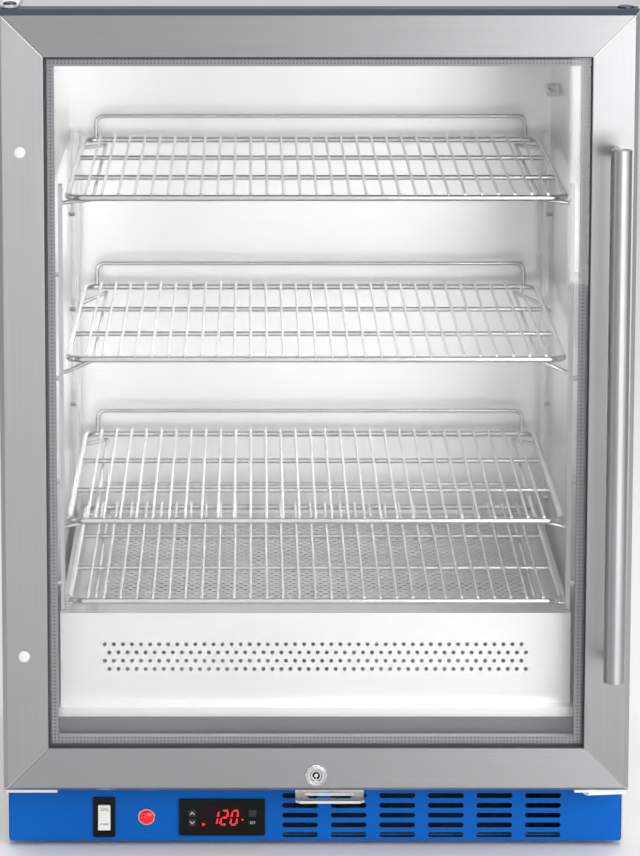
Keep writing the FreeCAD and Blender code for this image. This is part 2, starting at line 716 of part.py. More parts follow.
def controls():
    y0 = y_front - bezel_t
    w, h = switch_w / 2, switch_h / 2
    bezel = box(switch_x - w, switch_x + w, y0, y_front, panel_z - h, panel_z + h)
    bezel = bezel.makeChamfer(bezel_t / 2, [e for e in bezel.Edges if e.BoundBox.YLength > 1])
    w, h = w - panel_lap - pane_clear, h - panel_lap - pane_clear
    y1 = y_front + switch_body
    bezel = bezel.fuse(box(switch_x - w, switch_x + w, y_front, y1, panel_z - h, panel_z + h))
    gap = rocker_w / 2 + soft_clear
    half = rocker_h / 2 + rocker_gap
    y1 = y_front + switch_body * 0.7
    room = box(switch_x - gap, switch_x + gap, y0 - 1, y1, panel_z - half, panel_z + half)
    export("switch_bezel", bezel.cut(room).removeSplitter())
    # The rocker's face is two flats that meet on its middle line. Its lower half stands out.
    r = rocker_h / 2
    step = r * math.tan(math.radians(rocker_tilt))
    face = y0 - soft_clear
    side = [V(0, face, r), V(0, face, 0), V(0, face - step, -r), V(0, face - step + rocker_wall, -r)]
    side += [V(0, face + rocker_deep, -r / 3), V(0, face + rocker_deep, r / 3), V(0, face + rocker_wall, r)]
    side = [p + V(switch_x - rocker_w / 2, 0, panel_z) for p in side]
    export("switch_rocker", prism(side, V(rocker_w, 0, 0)))
    y_ring = y_front - lamp_ring_t
    centre = V(lamp_x, y_ring, panel_z)
    ring = rod(lamp_d, centre, centre + V(0, lamp_ring_t, 0), round_sides)
    side = lamp_body / 2
    ring = ring.fuse(box(lamp_x - side, lamp_x + side, y_front, y_front + lamp_body_len, panel_z - side,
                         panel_z + side))
    ring = ring.cut(rod(lens_d, centre - V(0, 1, 0), centre + V(0, lens_seat, 0), round_sides))
    export("lamp_ring", ring.removeSplitter())
    seat = centre + V(0, lens_seat, 0)
    export("lamp_lens", button(lens_d - pane_clear, lens_seat + lens_proud, seat, V(0, -1, 0)))
    # Display module with its window and three keys
    front = y_front - display_t
    w, h = display_w / 2, display_h / 2
    case = box(display_x - w, display_x + w, front, y_front, panel_z - h, panel_z + h)
    case = case.makeChamfer(display_t / 3, [e for e in case.Edges if e.BoundBox.YLength > 2])
    w, h = w - display_lap, h - display_lap
    case = case.fuse(box(display_x - w, display_x + w, y_front, y_front + display_body, panel_z - h,
                         panel_z + h)).removeSplitter()
    w, h = window_w / 2, window_h / 2
    deep = display_t * 0.6
    case = case.cut(box(display_x - w, display_x + w, front - 1, front + deep, panel_z - h, panel_z + h))
    w, h = w - weld_gap, h - weld_gap
    export("display_window", box(display_x - w, display_x + w, front + soft_clear, front + deep, panel_z - h,
                                 panel_z + h))
    keys = {"key_up": (arrow_x, upper_key_z), "key_down": (arrow_x, lower_key_z)}
    keys["key_set"] = (set_x, upper_key_z)
    for name, (x, z) in keys.items():
        a, b = key_w / 2, key_h / 2
        export(name, box(x - a, x + a, front - key_proud, front + key_deep, z - b, z + b))
        a, b = a + key_clear, b + key_clear
        deep = key_deep + key_travel + key_clear
        case = case.cut(box(x - a, x + a, front - 1, front + deep, z - b, z + b))
    export("display_case", case)


# ---- Shelves and what carries them ----
def shelves():
    y0 = y_front + shelf_front
    y1 = y0 + shelf_d
    half = shelf_w / 2
    r = rim_d / 2
    for number, z in enumerate(shelf_tops, 1):
        corners = [V(0, y0 + r, z), V(half - r, y0 + r, z), V(half - r, y1 - r, z), V(-half + r, y1 - r, z)]
        corners += [V(-half + r, y0 + r, z), V(0, y0 + r, z)]
        solids = [tube(corners, rim_d, rim_r)]
        reach = half - rim_d - weld_gap
        for i in range(cross_count):
            y = y0 + shelf_d * (i + 1) / (cross_count + 1)
            solids.append(rod(cross_d, V(-reach, y, z), V(reach, y, z), rod_sides))
        z_wire = z + r + wire_d / 2 + weld_gap
        for i in range(wire_count):
            x = wire_span * (i / (wire_count - 1) - 0.5)
            solids.append(rod(wire_d, V(x, y0, z_wire), V(x, y1, z_wire), wire_sides))
        y_fence = y1 - r
        x = half - rim_r - fence_d / 2
        low = z + r + weld_gap
        high = z + fence_h
        points = [V(-x, y_fence, low), V(-x, y_fence, high), V(x, y_fence, high), V(x, y_fence, low)]
        solids.append(tube(points, fence_d, fence_r))
        export("shelf_%d" % number, *solids)


def slot_heights():
    """Heights of the slots' centres in the uprights."""
    first = upright_bottom + slot_first
    count = int((upright_top - slot_l - first) / slot_pitch) + 1
    return [first + slot_pitch * i for i in range(count)]


def uprights():
    slot_w = support_d + 2 * slot_clear
    bars = []
    spacers = []
    for sign in [-1, 1]:
        x0 = sign * post_x - upright_t / 2
        for y in [y_front + upright_front, y_front + shelf_front + shelf_d - upright_w]:
            bar = box(x0, x0 + upright_t, y, y + upright_w, upright_bottom, upright_top)
            low = y + (upright_w - slot_w) / 2
            slots = [box(x0 - 1, x0 + upright_t + 1, low, low + slot_w, z - slot_l / 2, z + slot_l / 2)
                     for z in slot_heights()]
            bars.append(bar.cut(slots))
            start = sign * (post_x + upright_t / 2)
            for z in slot_heights()[1::standoff_every]:
                z_between = z + slot_pitch / 2
                middle = y + upright_w / 2
                end = V(sign * liner_w / 2, middle, z_between)
                spacers.append(rod(standoff_d, V(start, middle, z_between), end, rod_sides))
    export("shelf_uprights", *bars, *spacers)


def supports():
    """Bent-wire supports: each runs under a shelf's side and hooks down onto its two uprights."""
    hooks = []
    r = support_d / 2
    x_in = post_x + upright_t / 2 - support_in
    x_out = post_x - upright_t / 2 - r
    x_end = post_x + upright_t / 2
    for z_shelf in shelf_tops:
        z = z_shelf - cross_d * rod_flat / 2 - r - soft_clear
        below = [height for height in slot_heights() if height <= z - support_drop]
        z_slot = max(below or slot_heights()[:1])
        for sign in [-1, 1]:
            y0 = y_front + upright_front + upright_w / 2
            y1 = y_front + shelf_front + shelf_d - upright_w / 2
            points = [V(sign * x_end, y0, z_slot), V(sign * x_out, y0, z_slot), V(sign * x_in, y0, z)]
            points += [V(sign * x_in, y1, z), V(sign * x_out, y1, z_slot), V(sign * x_end, y1, z_slot)]
            hooks.append(tube(points, support_d, support_bend))
    export("shelf_supports", *hooks)


# ---- Heater and fan ----
def heater():
    y0 = y_front + cover_front
    y1 = y_front + liner_depth - cover_rear_gap
    x = cover_w / 2
    z0 = liner_floor
    z1 = liner_floor + cover_h
    s = cover_sheet
    export("heater_cover", box(-x, x, y0, y0 + s, z0, z1).fuse(box(-x, -x + s, y0, y1, z0, z1 - s)).fuse(
        box(x - s, x, y0, y1, z0, z1 - s)).removeSplitter())
    export("heater_deck", box(-x, x, y0 + s, y1, z1 - s, z1))
    y_mid = y_front + fan_y
    w = element_w / 2
    d = element_depth / 2
    lead = element_lead
    path = [V(-lead, y1, element_z), V(-lead, y_mid + d, element_z), V(-w, y_mid + d, element_z)]
    path += [V(-w, y_mid - d, element_z), V(w, y_mid - d, element_z), V(w, y_mid + d, element_z)]
    path += [V(lead, y_mid + d, element_z), V(lead, y1, element_z)]
    clips = []
    hole = element_d / 2 + run_fit
    for sign in [-1, 1]:
        x = sign * w
        y_clip = y_mid - clip_t / 2
        clip = box(x - clip_w / 2, x + clip_w / 2, y_clip, y_clip + clip_t, z0, element_z + clip_above)
        clips.append(clip.cut(box(x - hole, x + hole, y_clip - 1, y_clip + clip_t + 1, element_z - hole,
                                  element_z + hole)))
    export("heater_element", tube(path, element_d, element_r), *clips)
    # A shaded-pole motor is a square stack of plates. Its shaft carries the fan.
    half = motor_w / 2
    motor = box(-half, half, y_mid - half, y_mid + half, z0, z0 + motor_h)
    hub_z = z0 + motor_h + fan_gap
    shaft = rod(shaft_d, V(0, y_mid, z0 + motor_h), V(0, y_mid, hub_z + blade_h), button_sides)
    export("fan_motor", motor.fuse(shaft).removeSplitter())
    fan = rod(fan_hub_d, V(0, y_mid, hub_z), V(0, y_mid, hub_z + blade_h), round_sides)
    for i in range(fan_blades):
        blade = box(fan_hub_d / 2 - blade_grip, fan_d / 2, -blade_w / 2, blade_w / 2, -blade_t / 2, blade_t / 2)
        blade.rotate(V(0, 0, 0), V(1, 0, 0), blade_turn)
        blade.rotate(V(0, 0, 0), V(0, 0, 1), 360 * i / fan_blades)
        blade.translate(V(0, y_mid, hub_z + blade_h / 2))
        fan = fan.fuse(blade)
    fan = fan.cut(cyl(shaft_d + 2 * run_fit, 3 * blade_h, 0, y_mid, hub_z - blade_h))
    export("fan_blade", fan.removeSplitter())
    z = liner_top - probe_below
    x = liner_w / 2
    y = y_front + probe_back
    half = probe_block / 2
    probe = rod(probe_d, V(x - probe_off, y, z), V(x - probe_off, y + probe_len, z), rod_sides)
    middle = y + probe_len / 2
    block = box(x - probe_block, x, middle - half, middle + half, z - half, z + half)
    export("temperature_probe", probe.fuse(block).removeSplitter())


door_frame()
inner_frame()
glazing()
top_trim()
handle()
lock()
hinges()
strike()
shell()
insulated_box()
rear_parts()
base()
kick()
controls()
shelves()
uprights()
supports()
heater()
print("nodes", len(os.listdir("parts")))
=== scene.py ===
# %% [markdown]
# # A blanket warming cabinet
# The CAD model gives every rigid part its size and place. This lesson dresses it: it gives each sheet,
# wire and switch a finish, and makes the fine pieces that a CAD model leaves out, such as punched holes.

# %% Load the frame
import math
import bpy
import bmesh
from mathutils import Matrix, Vector


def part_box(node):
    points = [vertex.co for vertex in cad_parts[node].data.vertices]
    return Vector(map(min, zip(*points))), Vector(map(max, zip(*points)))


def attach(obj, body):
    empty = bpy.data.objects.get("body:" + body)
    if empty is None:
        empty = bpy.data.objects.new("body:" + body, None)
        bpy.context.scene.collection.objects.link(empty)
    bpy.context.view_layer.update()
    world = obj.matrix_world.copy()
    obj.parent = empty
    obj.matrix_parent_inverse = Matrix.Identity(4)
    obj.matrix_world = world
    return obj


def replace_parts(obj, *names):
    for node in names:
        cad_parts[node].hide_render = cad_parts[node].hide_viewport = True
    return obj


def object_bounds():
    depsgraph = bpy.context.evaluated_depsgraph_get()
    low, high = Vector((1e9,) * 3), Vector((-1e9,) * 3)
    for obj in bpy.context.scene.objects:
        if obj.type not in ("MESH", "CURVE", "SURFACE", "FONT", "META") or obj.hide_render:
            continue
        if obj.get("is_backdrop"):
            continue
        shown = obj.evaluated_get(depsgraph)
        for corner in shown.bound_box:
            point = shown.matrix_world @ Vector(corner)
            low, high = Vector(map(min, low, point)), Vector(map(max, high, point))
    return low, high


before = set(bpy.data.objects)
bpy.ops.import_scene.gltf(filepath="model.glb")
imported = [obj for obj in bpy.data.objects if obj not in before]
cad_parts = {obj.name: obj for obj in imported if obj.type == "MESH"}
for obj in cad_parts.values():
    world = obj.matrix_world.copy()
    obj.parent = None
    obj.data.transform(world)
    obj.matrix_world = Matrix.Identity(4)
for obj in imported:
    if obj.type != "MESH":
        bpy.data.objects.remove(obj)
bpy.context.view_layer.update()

# %% [markdown]
# ## Making a piece
# A mesh is edited as a bmesh, which has the same tools as edit mode. When it is done it becomes an
# object, which rides on one of the cabinet's moving bodies. Its place stays in its mesh, so patterns on
# Object coordinates line up with its neighbours.

# %% A helper that finishes a piece
def new_piece(bm, name, body, finish, smooth_angle=30):
    bmesh.ops.recalc_face_normals(bm, faces=bm.faces)
    mesh = bpy.data.meshes.new(name)
    bm.to_mesh(mesh)
    bm.free()
    mesh.materials.append(finish)
    piece = bpy.data.objects.new(name, mesh)
    bpy.context.scene.collection.objects.link(piece)
    mesh.shade_smooth()
    mesh.set_sharp_from_angle(angle=math.radians(smooth_angle))
    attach(piece, body)
    print(name, len(mesh.polygons), "faces")
    return piece


def only_verts(geom):
    return [g for g in geom if isinstance(g, bmesh.types.BMVert)]


def aimed(at, toward):
    """A placement at a point, with its own Z axis turned toward a direction."""
    return Matrix.Translation(at) @ Vector(toward).to_track_quat("Z", "Y").to_matrix().to_4x4()


def block(bm, low, high):
    """A box between two corners, made from a unit cube."""
    low, high = Vector(low), Vector(high)
    size = high - low
    place = Matrix.Translation((low + high) / 2) @ Matrix.Diagonal((*size, 1))
    return bmesh.ops.create_cube(bm, size=1, matrix=place)["verts"]


def rod(bm, start, end, diameter, sides=10):
    """A straight round rod between two points, closed at both ends."""
    start, end = Vector(start), Vector(end)
    along = end - start
    bmesh.ops.create_cone(bm, cap_ends=True, segments=sides, radius1=diameter / 2, radius2=diameter / 2,
                          depth=along.length, matrix=aimed((start + end) / 2, along))


# %% [markdown]
# ## Bending wire
# Shelf rims and supports are wire, bent in a jig. A sweep along a curve would do it, but building it as
# the jig does is clearer: a round section is extruded along each straight run and spun round each bend.

# %% A helper that bends wire
def bent_wire(bm, corners, diameter, bend, sides=12, steps=6, closed=False):
    corners = [Vector(c) for c in corners]
    heading = (corners[1] - corners[0]).normalized()
    ring = bmesh.ops.create_circle(bm, cap_ends=not closed, segments=sides, radius=diameter / 2,
                                   matrix=aimed(corners[0], heading))
    edges = list({e for v in ring["verts"] for e in v.link_edges})
    at = corners[0]
    for i in range(1, len(corners)):
        here = corners[i]
        last = i == len(corners) - 1
        out = heading if last else (corners[i + 1] - here).normalized()
        angle = heading.angle(out)
        setback = 0 if last else bend * math.tan(angle / 2)
        stop = here - heading * setback
        made = bmesh.ops.extrude_edge_only(bm, edges=edges)["geom"]
        verts = only_verts(made)
        bmesh.ops.translate(bm, vec=stop - at, verts=verts)
        edges = [g for g in made if isinstance(g, bmesh.types.BMEdge)
                 and all(v in verts for v in g.verts)]
        at = stop
        if not last:
            axis = heading.cross(out).normalized()
            centre = stop + axis.cross(heading) * bend
            spun = bmesh.ops.spin(bm, geom=verts + edges, cent=centre, axis=axis, angle=angle, steps=steps,
                                  use_merge=False, use_duplicate=False)["geom_last"]
            verts = only_verts(spun)
            edges = [g for g in spun if isinstance(g, bmesh.types.BMEdge)]
            at = here + out * setback
            heading = out
    if closed:
        bmesh.ops.remove_doubles(bm, verts=bm.verts, dist=1e-6)
    else:
        bmesh.ops.edgeloop_fill(bm, edges=edges)


# %% [markdown]
# ## Turning on a lathe
# Domes, studs, the lock and the handle are round about one line. Stacked cylinders would do, but one
# profile that is spun about the line gives their chamfers and curves at once, as a lathe does.

# %% A helper that turns round pieces
def turned(bm, profile, at, toward, sides=32, hollow=False):
    """Spin a profile of (radius, height) points about the line from at along toward."""
    old = set(bm.verts)
    points = [bm.verts.new((radius, 0, height)) for radius, height in profile]
    ends = points[1:] + points[:1] if hollow else points[1:]
    edges = [bm.edges.new(pair) for pair in zip(points, ends)]
    bmesh.ops.spin(bm, geom=points + edges, cent=(0, 0, 0), axis=(0, 0, 1), angle=math.tau, steps=sides,
                   use_merge=True)
    made = [v for v in bm.verts if v not in old]
    bmesh.ops.remove_doubles(bm, verts=made, dist=1e-7)
    made = [v for v in bm.verts if v not in old]
    bmesh.ops.transform(bm, matrix=aimed(at, toward), verts=made)


def dome(radius, rise, base=0.0, steps=6):
    """A dome's profile: a straight wall of height base, then a quarter of an ellipse."""
    wall = [(0, 0), (radius, 0)] + ([(radius, base)] if base else [])
    arcs = [math.pi / 2 * i / steps for i in range(1, steps)]
    return wall + [(radius * math.cos(a), base + rise * math.sin(a)) for a in arcs] + [(0, base + rise)]


# %% [markdown]
# ## Effects that several finishes share
# Brushed steel is scratched in one direction by an abrasive belt. Noise that is stretched a few hundred
# times along the belt gives those lines. The group puts out how light each streak is and how high it
# stands, so each finish decides how strong its own lines are.

# %% The brushed grain
def new_group(name, inputs, outputs):
    group = bpy.data.node_groups.new(name, "ShaderNodeTree")
    for title, kind, default in inputs:
        socket = group.interface.new_socket(title, in_out="INPUT", socket_type=kind)
        socket.default_value = default
    for title in outputs:
        group.interface.new_socket(title, in_out="OUTPUT", socket_type="NodeSocketFloat")
    return group, group.nodes.new("NodeGroupInput"), group.nodes.new("NodeGroupOutput")


def math_node(nodes, links, operation, a, b=None):
    node = nodes.new("ShaderNodeMath")
    node.operation = operation
    for slot, value in zip(node.inputs, [a, b]):
        if value is None:
            continue
        if isinstance(value, (int, float)):
            slot.default_value = value
        else:
            links.new(value, slot)
    return node.outputs[0]


def split_coords(nodes, links, kind="Object"):
    """A point's X, Y and Z, as sockets."""
    split = nodes.new("ShaderNodeSeparateXYZ")
    links.new(nodes.new("ShaderNodeTexCoord").outputs[kind], split.inputs[0])
    return split.outputs


def stretched_noise(group, stretch, detail, name):
    nodes, links = group.nodes, group.links
    coords = nodes.new("ShaderNodeTexCoord")
    scale = nodes.new("ShaderNodeVectorMath")
    scale.operation = "MULTIPLY"
    links.new(coords.outputs["Object"], scale.inputs[0])
    if isinstance(stretch, tuple):
        scale.inputs[1].default_value = stretch
    else:
        links.new(stretch, scale.inputs[1])
    noise = nodes.new("ShaderNodeTexNoise")
    noise.name = name
    noise.inputs["Scale"].default_value = 1
    noise.inputs["Detail"].default_value = detail
    links.new(scale.outputs[0], noise.inputs["Vector"])
    return noise.outputs["Fac"]


brushed, g_in, g_out = new_group("BrushedGrain", [("Stretch", "NodeSocketVector", (6, 6, 900))],
                                 ["Streak", "Height", "Smudge"])
streak = stretched_noise(brushed, g_in.outputs["Stretch"], 3, "streaks")
smudge = stretched_noise(brushed, (5, 5, 5), 4, "hand marks")
brushed.links.new(streak, g_out.inputs["Streak"])
brushed.links.new(streak, g_out.inputs["Height"])
brushed.links.new(smudge, g_out.inputs["Smudge"])
print("BrushedGrain", len(brushed.nodes), "nodes")

# %% [markdown]
# Paint and moulded plastic aren't streaked. They have a faint orange peel and patches that are a little
# duller where hands and cloths have been.

# %% The mottle of paint and plastic
mottle, m_in, m_out = new_group("Mottle", [("Grain", "NodeSocketVector", (900, 900, 900))],
                                ["Peel", "Patch"])
mottle.links.new(stretched_noise(mottle, m_in.outputs["Grain"], 2, "peel"), m_out.inputs["Peel"])
mottle.links.new(stretched_noise(mottle, (9, 9, 9), 5, "patches"), m_out.inputs["Patch"])
print("Mottle", len(mottle.nodes), "nodes")

# %% [markdown]
# The door's four bars meet in 45 degree mitres, and a hair-thin line shows where two folded sheets meet.
# It lies where the distance to the side edge equals the distance to the top or bottom edge. The rails
# wear it dark, as the gap, and the stiles light, as a painted highlight of the sheet's edge that catches
# the lamp. The glass spacer is punched with dots too small to model, so they are a mask on a square grid.

# %% The mitre seam and the dots of the glass spacer
DOOR_HALF, DOOR_LOW, DOOR_HIGH = 0.300, 0.069, 0.822
seam, s_in, s_out = new_group("MitreSeam", [("Width", "NodeSocketFloat", 0.0005)], ["Seam"])
nodes, links = seam.nodes, seam.links
point = split_coords(nodes, links)
off_centre = math_node(nodes, links, "ABSOLUTE", point["X"])
to_side = math_node(nodes, links, "SUBTRACT", DOOR_HALF, off_centre)
to_top = math_node(nodes, links, "SUBTRACT", DOOR_HIGH, point["Z"])
to_bottom = math_node(nodes, links, "SUBTRACT", point["Z"], DOOR_LOW)
to_end = math_node(nodes, links, "MINIMUM", to_top, to_bottom)
off_mitre = math_node(nodes, links, "ABSOLUTE", math_node(nodes, links, "SUBTRACT", to_side, to_end))
links.new(math_node(nodes, links, "LESS_THAN", off_mitre, s_in.outputs["Width"]), s_out.inputs["Seam"])

dots, d_in, d_out = new_group("PunchedDots", [("Pitch", "NodeSocketFloat", 0.0035),
                                              ("Radius", "NodeSocketFloat", 0.0009)], ["Hole"])
nodes, links = dots.nodes, dots.links
point = split_coords(nodes, links)
squares = []
for axis in "XZ":
    step = math_node(nodes, links, "DIVIDE", point[axis], d_in.outputs["Pitch"])
    off = math_node(nodes, links, "SUBTRACT", math_node(nodes, links, "FRACT", step), 0.5)
    metres = math_node(nodes, links, "MULTIPLY", off, d_in.outputs["Pitch"])
    squares.append(math_node(nodes, links, "MULTIPLY", metres, metres))
away = math_node(nodes, links, "SQRT", math_node(nodes, links, "ADD", *squares))
links.new(math_node(nodes, links, "LESS_THAN", away, d_in.outputs["Radius"]), d_out.inputs["Hole"])
print("MitreSeam and PunchedDots are ready")


# %% [markdown]
# ## Finishes
# Every finish but glass is one Principled shader. A light and a dark version of its colour are mixed by
# the streaks or the mottle, and the same pattern drives its roughness and a very shallow bump. A folded
# sheet's edges are round, so a Bevel node can turn the normals there without any change to the mesh.

# %% Helpers for finishes
def start_finish(name, metallic, **constants):
    finish = bpy.data.materials.new(name)
    finish.use_nodes = True
    nodes, links = finish.node_tree.nodes, finish.node_tree.links
    shader = nodes["Principled BSDF"]
    shader.inputs["Metallic"].default_value = metallic
    for key, value in constants.items():
        shader.inputs[key.replace("_", " ")].default_value = value
    return finish, nodes, links, shader


def place_group(nodes, group, **values):
    node = nodes.new("ShaderNodeGroup")
    node.node_tree = group
    for key, value in values.items():
        node.inputs[key].default_value = value
    return node


def mix_colours(nodes, links, mask, low, high):
    mix = nodes.new("ShaderNodeMix")
    mix.data_type = "RGBA"
    links.new(mask, mix.inputs["Factor"])
    for socket, value in [(mix.inputs[6], low), (mix.inputs[7], high)]:
        if isinstance(value, tuple):
            socket.default_value = (*value, 1)
        else:
            links.new(value, socket)
    return mix.outputs[2]


def spread(nodes, links, mask, low, high, mask_low=0.3, mask_high=0.7):
    node = nodes.new("ShaderNodeMapRange")
    node.inputs["From Min"].default_value = mask_low
    node.inputs["From Max"].default_value = mask_high
    node.inputs["To Min"].default_value = low
    node.inputs["To Max"].default_value = high
    links.new(mask, node.inputs["Value"])
    return node.outputs["Result"]


def add_bump(nodes, links, shader, height, distance):
    bump = nodes.new("ShaderNodeBump")
    bump.inputs["Distance"].default_value = distance
    links.new(height, bump.inputs["Height"])
    links.new(bump.outputs["Normal"], shader.inputs["Normal"])
    return bump


def brushed_finish(name, dark, light, rough, stretch, depth=2e-5, mitre=None, fold=0, **constants):
    """Bare metal. mitre is the seam's half width and colour, fold the radius of rounded edges."""
    finish, nodes, links, shader = start_finish(name, 1.0, **constants)
    grain = place_group(nodes, brushed, Stretch=stretch)
    tone = mix_colours(nodes, links, spread(nodes, links, grain.outputs["Streak"], 0, 1), dark, light)
    if mitre:
        half_width, colour = mitre
        seam_node = place_group(nodes, seam, Width=half_width)
        tone = mix_colours(nodes, links, seam_node.outputs["Seam"], tone, colour)
    links.new(tone, shader.inputs["Base Color"])
    halves = [math_node(nodes, links, "MULTIPLY", grain.outputs[part], 0.5) for part in ("Streak", "Smudge")]
    smoothest, roughest = rough - 0.06, rough + 0.08
    both = math_node(nodes, links, "ADD", *halves)
    links.new(spread(nodes, links, both, smoothest, roughest), shader.inputs["Roughness"])
    bump = add_bump(nodes, links, shader, grain.outputs["Height"], depth)
    if fold:
        rounded = nodes.new("ShaderNodeBevel")
        rounded.inputs["Radius"].default_value = fold
        links.new(rounded.outputs["Normal"], bump.inputs["Normal"])
    return finish


def moulded_finish(name, dark, light, rough, grain=(900, 900, 900), depth=1e-5, **constants):
    """Paint, plastic, rubber or ink."""
    finish, nodes, links, shader = start_finish(name, 0.0, **constants)
    skin = place_group(nodes, mottle, Grain=grain)
    links.new(mix_colours(nodes, links, spread(nodes, links, skin.outputs["Patch"], 0, 1), dark, light),
              shader.inputs["Base Color"])
    smoothest, roughest = rough - 0.05, rough + 0.07
    links.new(spread(nodes, links, skin.outputs["Patch"], smoothest, roughest), shader.inputs["Roughness"])
    add_bump(nodes, links, shader, skin.outputs["Peel"], depth)
    return finish


def paint_shade_inside(finish, y_from, y_to, dark):
    """Painted shade: darkens what lies between two depths, such as a keyway."""
    nodes, links = finish.node_tree.nodes, finish.node_tree.links
    shader = nodes["Principled BSDF"]
    unshaded_tone = shader.inputs["Base Color"].links[0].from_socket
    depth = split_coords(nodes, links)["Y"]
    behind = math_node(nodes, links, "GREATER_THAN", depth, y_from)
    before = math_node(nodes, links, "LESS_THAN", depth, y_to)
    inside = math_node(nodes, links, "MULTIPLY", behind, before)
    links.new(mix_colours(nodes, links, inside, unshaded_tone, dark), shader.inputs["Base Color"])


# %% [markdown]
# The same steel looks different on each part, because the belt runs along each bar. So the rails and
# the stiles get one finish each, with the streaks stretched along X or along Z. The rails' colour is also
# a little darker than the stiles', which is painted shade. Scratches too fine to see still blur a
# reflection across themselves, which is what Anisotropic does. Without a tangent of its own the blur on
# an upright face runs sideways, as on the stiles, and a quarter turn makes it run up and down.

# %% Metals
ALONG_X, ALONG_Z, ALONG_Y = (5, 1900, 1900), (1900, 1900, 5), (1900, 5, 1900)
BLUR_SIDEWAYS = {"Anisotropic": 0.75}
BLUR_UPWARDS = {"Anisotropic": 0.75, "Anisotropic_Rotation": 0.25}
FOLD_RADIUS = 0.0014
DARK_SEAM = (0.0005, (0.05, 0.05, 0.055))
# The stiles' light mitre line is a painted highlight of the folded edge, not a colour of the steel.
PAINTED_HIGHLIGHT_SEAM = (0.0009, (0.8, 0.8, 0.8))
KEYWAY_FRONT, KEYWAY_REAR = -0.2524, -0.2315
# The rails are a painted-shade copy of the stiles' steel: their colour is a little darker.
painted_shade_rail_steel = brushed_finish("painted_shade_rail_steel", (0.31, 0.317, 0.32), (0.345, 0.352, 0.355), 0.36, ALONG_X,
                            mitre=DARK_SEAM, fold=FOLD_RADIUS, **BLUR_UPWARDS)
stile_steel = brushed_finish("stile_steel", (0.34, 0.347, 0.35), (0.38, 0.387, 0.39), 0.36, ALONG_Z,
                             mitre=PAINTED_HIGHLIGHT_SEAM, fold=FOLD_RADIUS, **BLUR_SIDEWAYS)
shell_steel = brushed_finish("shell_steel", (0.5, 0.505, 0.51), (0.6, 0.605, 0.61), 0.4, ALONG_Z)
top_steel = brushed_finish("top_steel", (0.42, 0.425, 0.43), (0.48, 0.485, 0.49), 0.4, ALONG_X)
liner_steel = brushed_finish("liner_steel", (0.9, 0.9, 0.893), (0.94, 0.94, 0.932), 0.34, ALONG_X, 1e-5)
cover_steel = brushed_finish("cover_steel", (0.74, 0.74, 0.73), (0.79, 0.79, 0.78), 0.4, ALONG_X, 1e-5)
deck_steel = brushed_finish("deck_steel", (0.82, 0.82, 0.81), (0.88, 0.88, 0.87), 0.42, ALONG_X, 1e-5)
zinc_steel = brushed_finish("zinc_steel", (0.53, 0.54, 0.55), (0.6, 0.61, 0.62), 0.42, (60, 60, 60), 1e-5)
bracket_steel = brushed_finish("bracket_steel", (0.72, 0.72, 0.72), (0.8, 0.8, 0.8), 0.35, ALONG_X, 1e-5)
upright_steel = brushed_finish("upright_steel", (0.6, 0.6, 0.6), (0.7, 0.7, 0.7), 0.3, ALONG_Z, 1e-5)
handle_steel = brushed_finish("handle_steel", (0.42, 0.425, 0.43), (0.46, 0.465, 0.47), 0.45, (60, 60, 60),
                              1e-6, Anisotropic=0.95, Anisotropic_Rotation=0.25)
probe_steel = brushed_finish("probe_steel", (0.5, 0.5, 0.5), (0.6, 0.6, 0.6), 0.3, ALONG_Y, 1e-5)
heater_steel = brushed_finish("heater_steel", (0.16, 0.13, 0.11), (0.3, 0.26, 0.22), 0.45, (30, 30, 30), 1e-5)
wire_chrome = brushed_finish("wire_chrome", (0.7, 0.7, 0.705), (0.78, 0.78, 0.785), 0.14, (40, 40, 40), 1e-6)
fitting_chrome = brushed_finish("fitting_chrome", (0.6, 0.6, 0.61), (0.68, 0.68, 0.69), 0.16, (50, 50, 50),
                                1e-6)
keyed_chrome = brushed_finish("keyed_chrome", (0.6, 0.6, 0.61), (0.7, 0.7, 0.71), 0.22, (50, 50, 50), 1e-6)
# Painted shade in the keyway: the plug's colour turns near black between these two depths.
paint_shade_inside(keyed_chrome, KEYWAY_FRONT, KEYWAY_REAR, (0.02, 0.02, 0.02))
dome_chrome = brushed_finish("dome_chrome", (0.05, 0.055, 0.08), (0.08, 0.085, 0.11), 0.2, (50, 50, 50), 1e-6)
print("metals are ready")

# %% [markdown]
# Paint, rubber and plastic use the mottle. The blue kick panel is powder coated, which is smooth but
# not glossy, so its reflections are weak and wide.

# %% Paint, plastic and rubber
blue_paint = moulded_finish("blue_paint", (0.0, 0.095, 0.41), (0.0, 0.105, 0.44), 0.5, depth=2e-5,
                            Specular_IOR_Level=0.12)
# The dark blue-grey strip over the door's top bevel is painted shade and dark reflection of that bevel.
top_strip_painted_shade = moulded_finish("top_strip_painted_shade", (0.03, 0.045, 0.069), (0.037, 0.053, 0.079), 0.45,
                            Specular_IOR_Level=0.1)
sill_paint = moulded_finish("sill_paint", (0.1, 0.11, 0.122), (0.12, 0.13, 0.142), 0.45)
frame_plastic = moulded_finish("frame_plastic", (0.27, 0.285, 0.3), (0.31, 0.325, 0.34), 0.5)
seal_rubber = moulded_finish("seal_rubber", (0.03, 0.03, 0.032), (0.045, 0.045, 0.048), 0.6)
black_plastic = moulded_finish("black_plastic", (0.003, 0.003, 0.003), (0.005, 0.005, 0.005), 0.4,
                               Specular_IOR_Level=0.15)
white_plastic = moulded_finish("white_plastic", (0.72, 0.71, 0.66), (0.8, 0.79, 0.75), 0.3)
plug_plastic = moulded_finish("plug_plastic", (0.62, 0.625, 0.63), (0.68, 0.685, 0.69), 0.35)
key_plastic = moulded_finish("key_plastic", (0.008, 0.008, 0.009), (0.012, 0.012, 0.013), 0.45)
foot_rubber = moulded_finish("foot_rubber", (0.02, 0.02, 0.02), (0.035, 0.035, 0.035), 0.6)
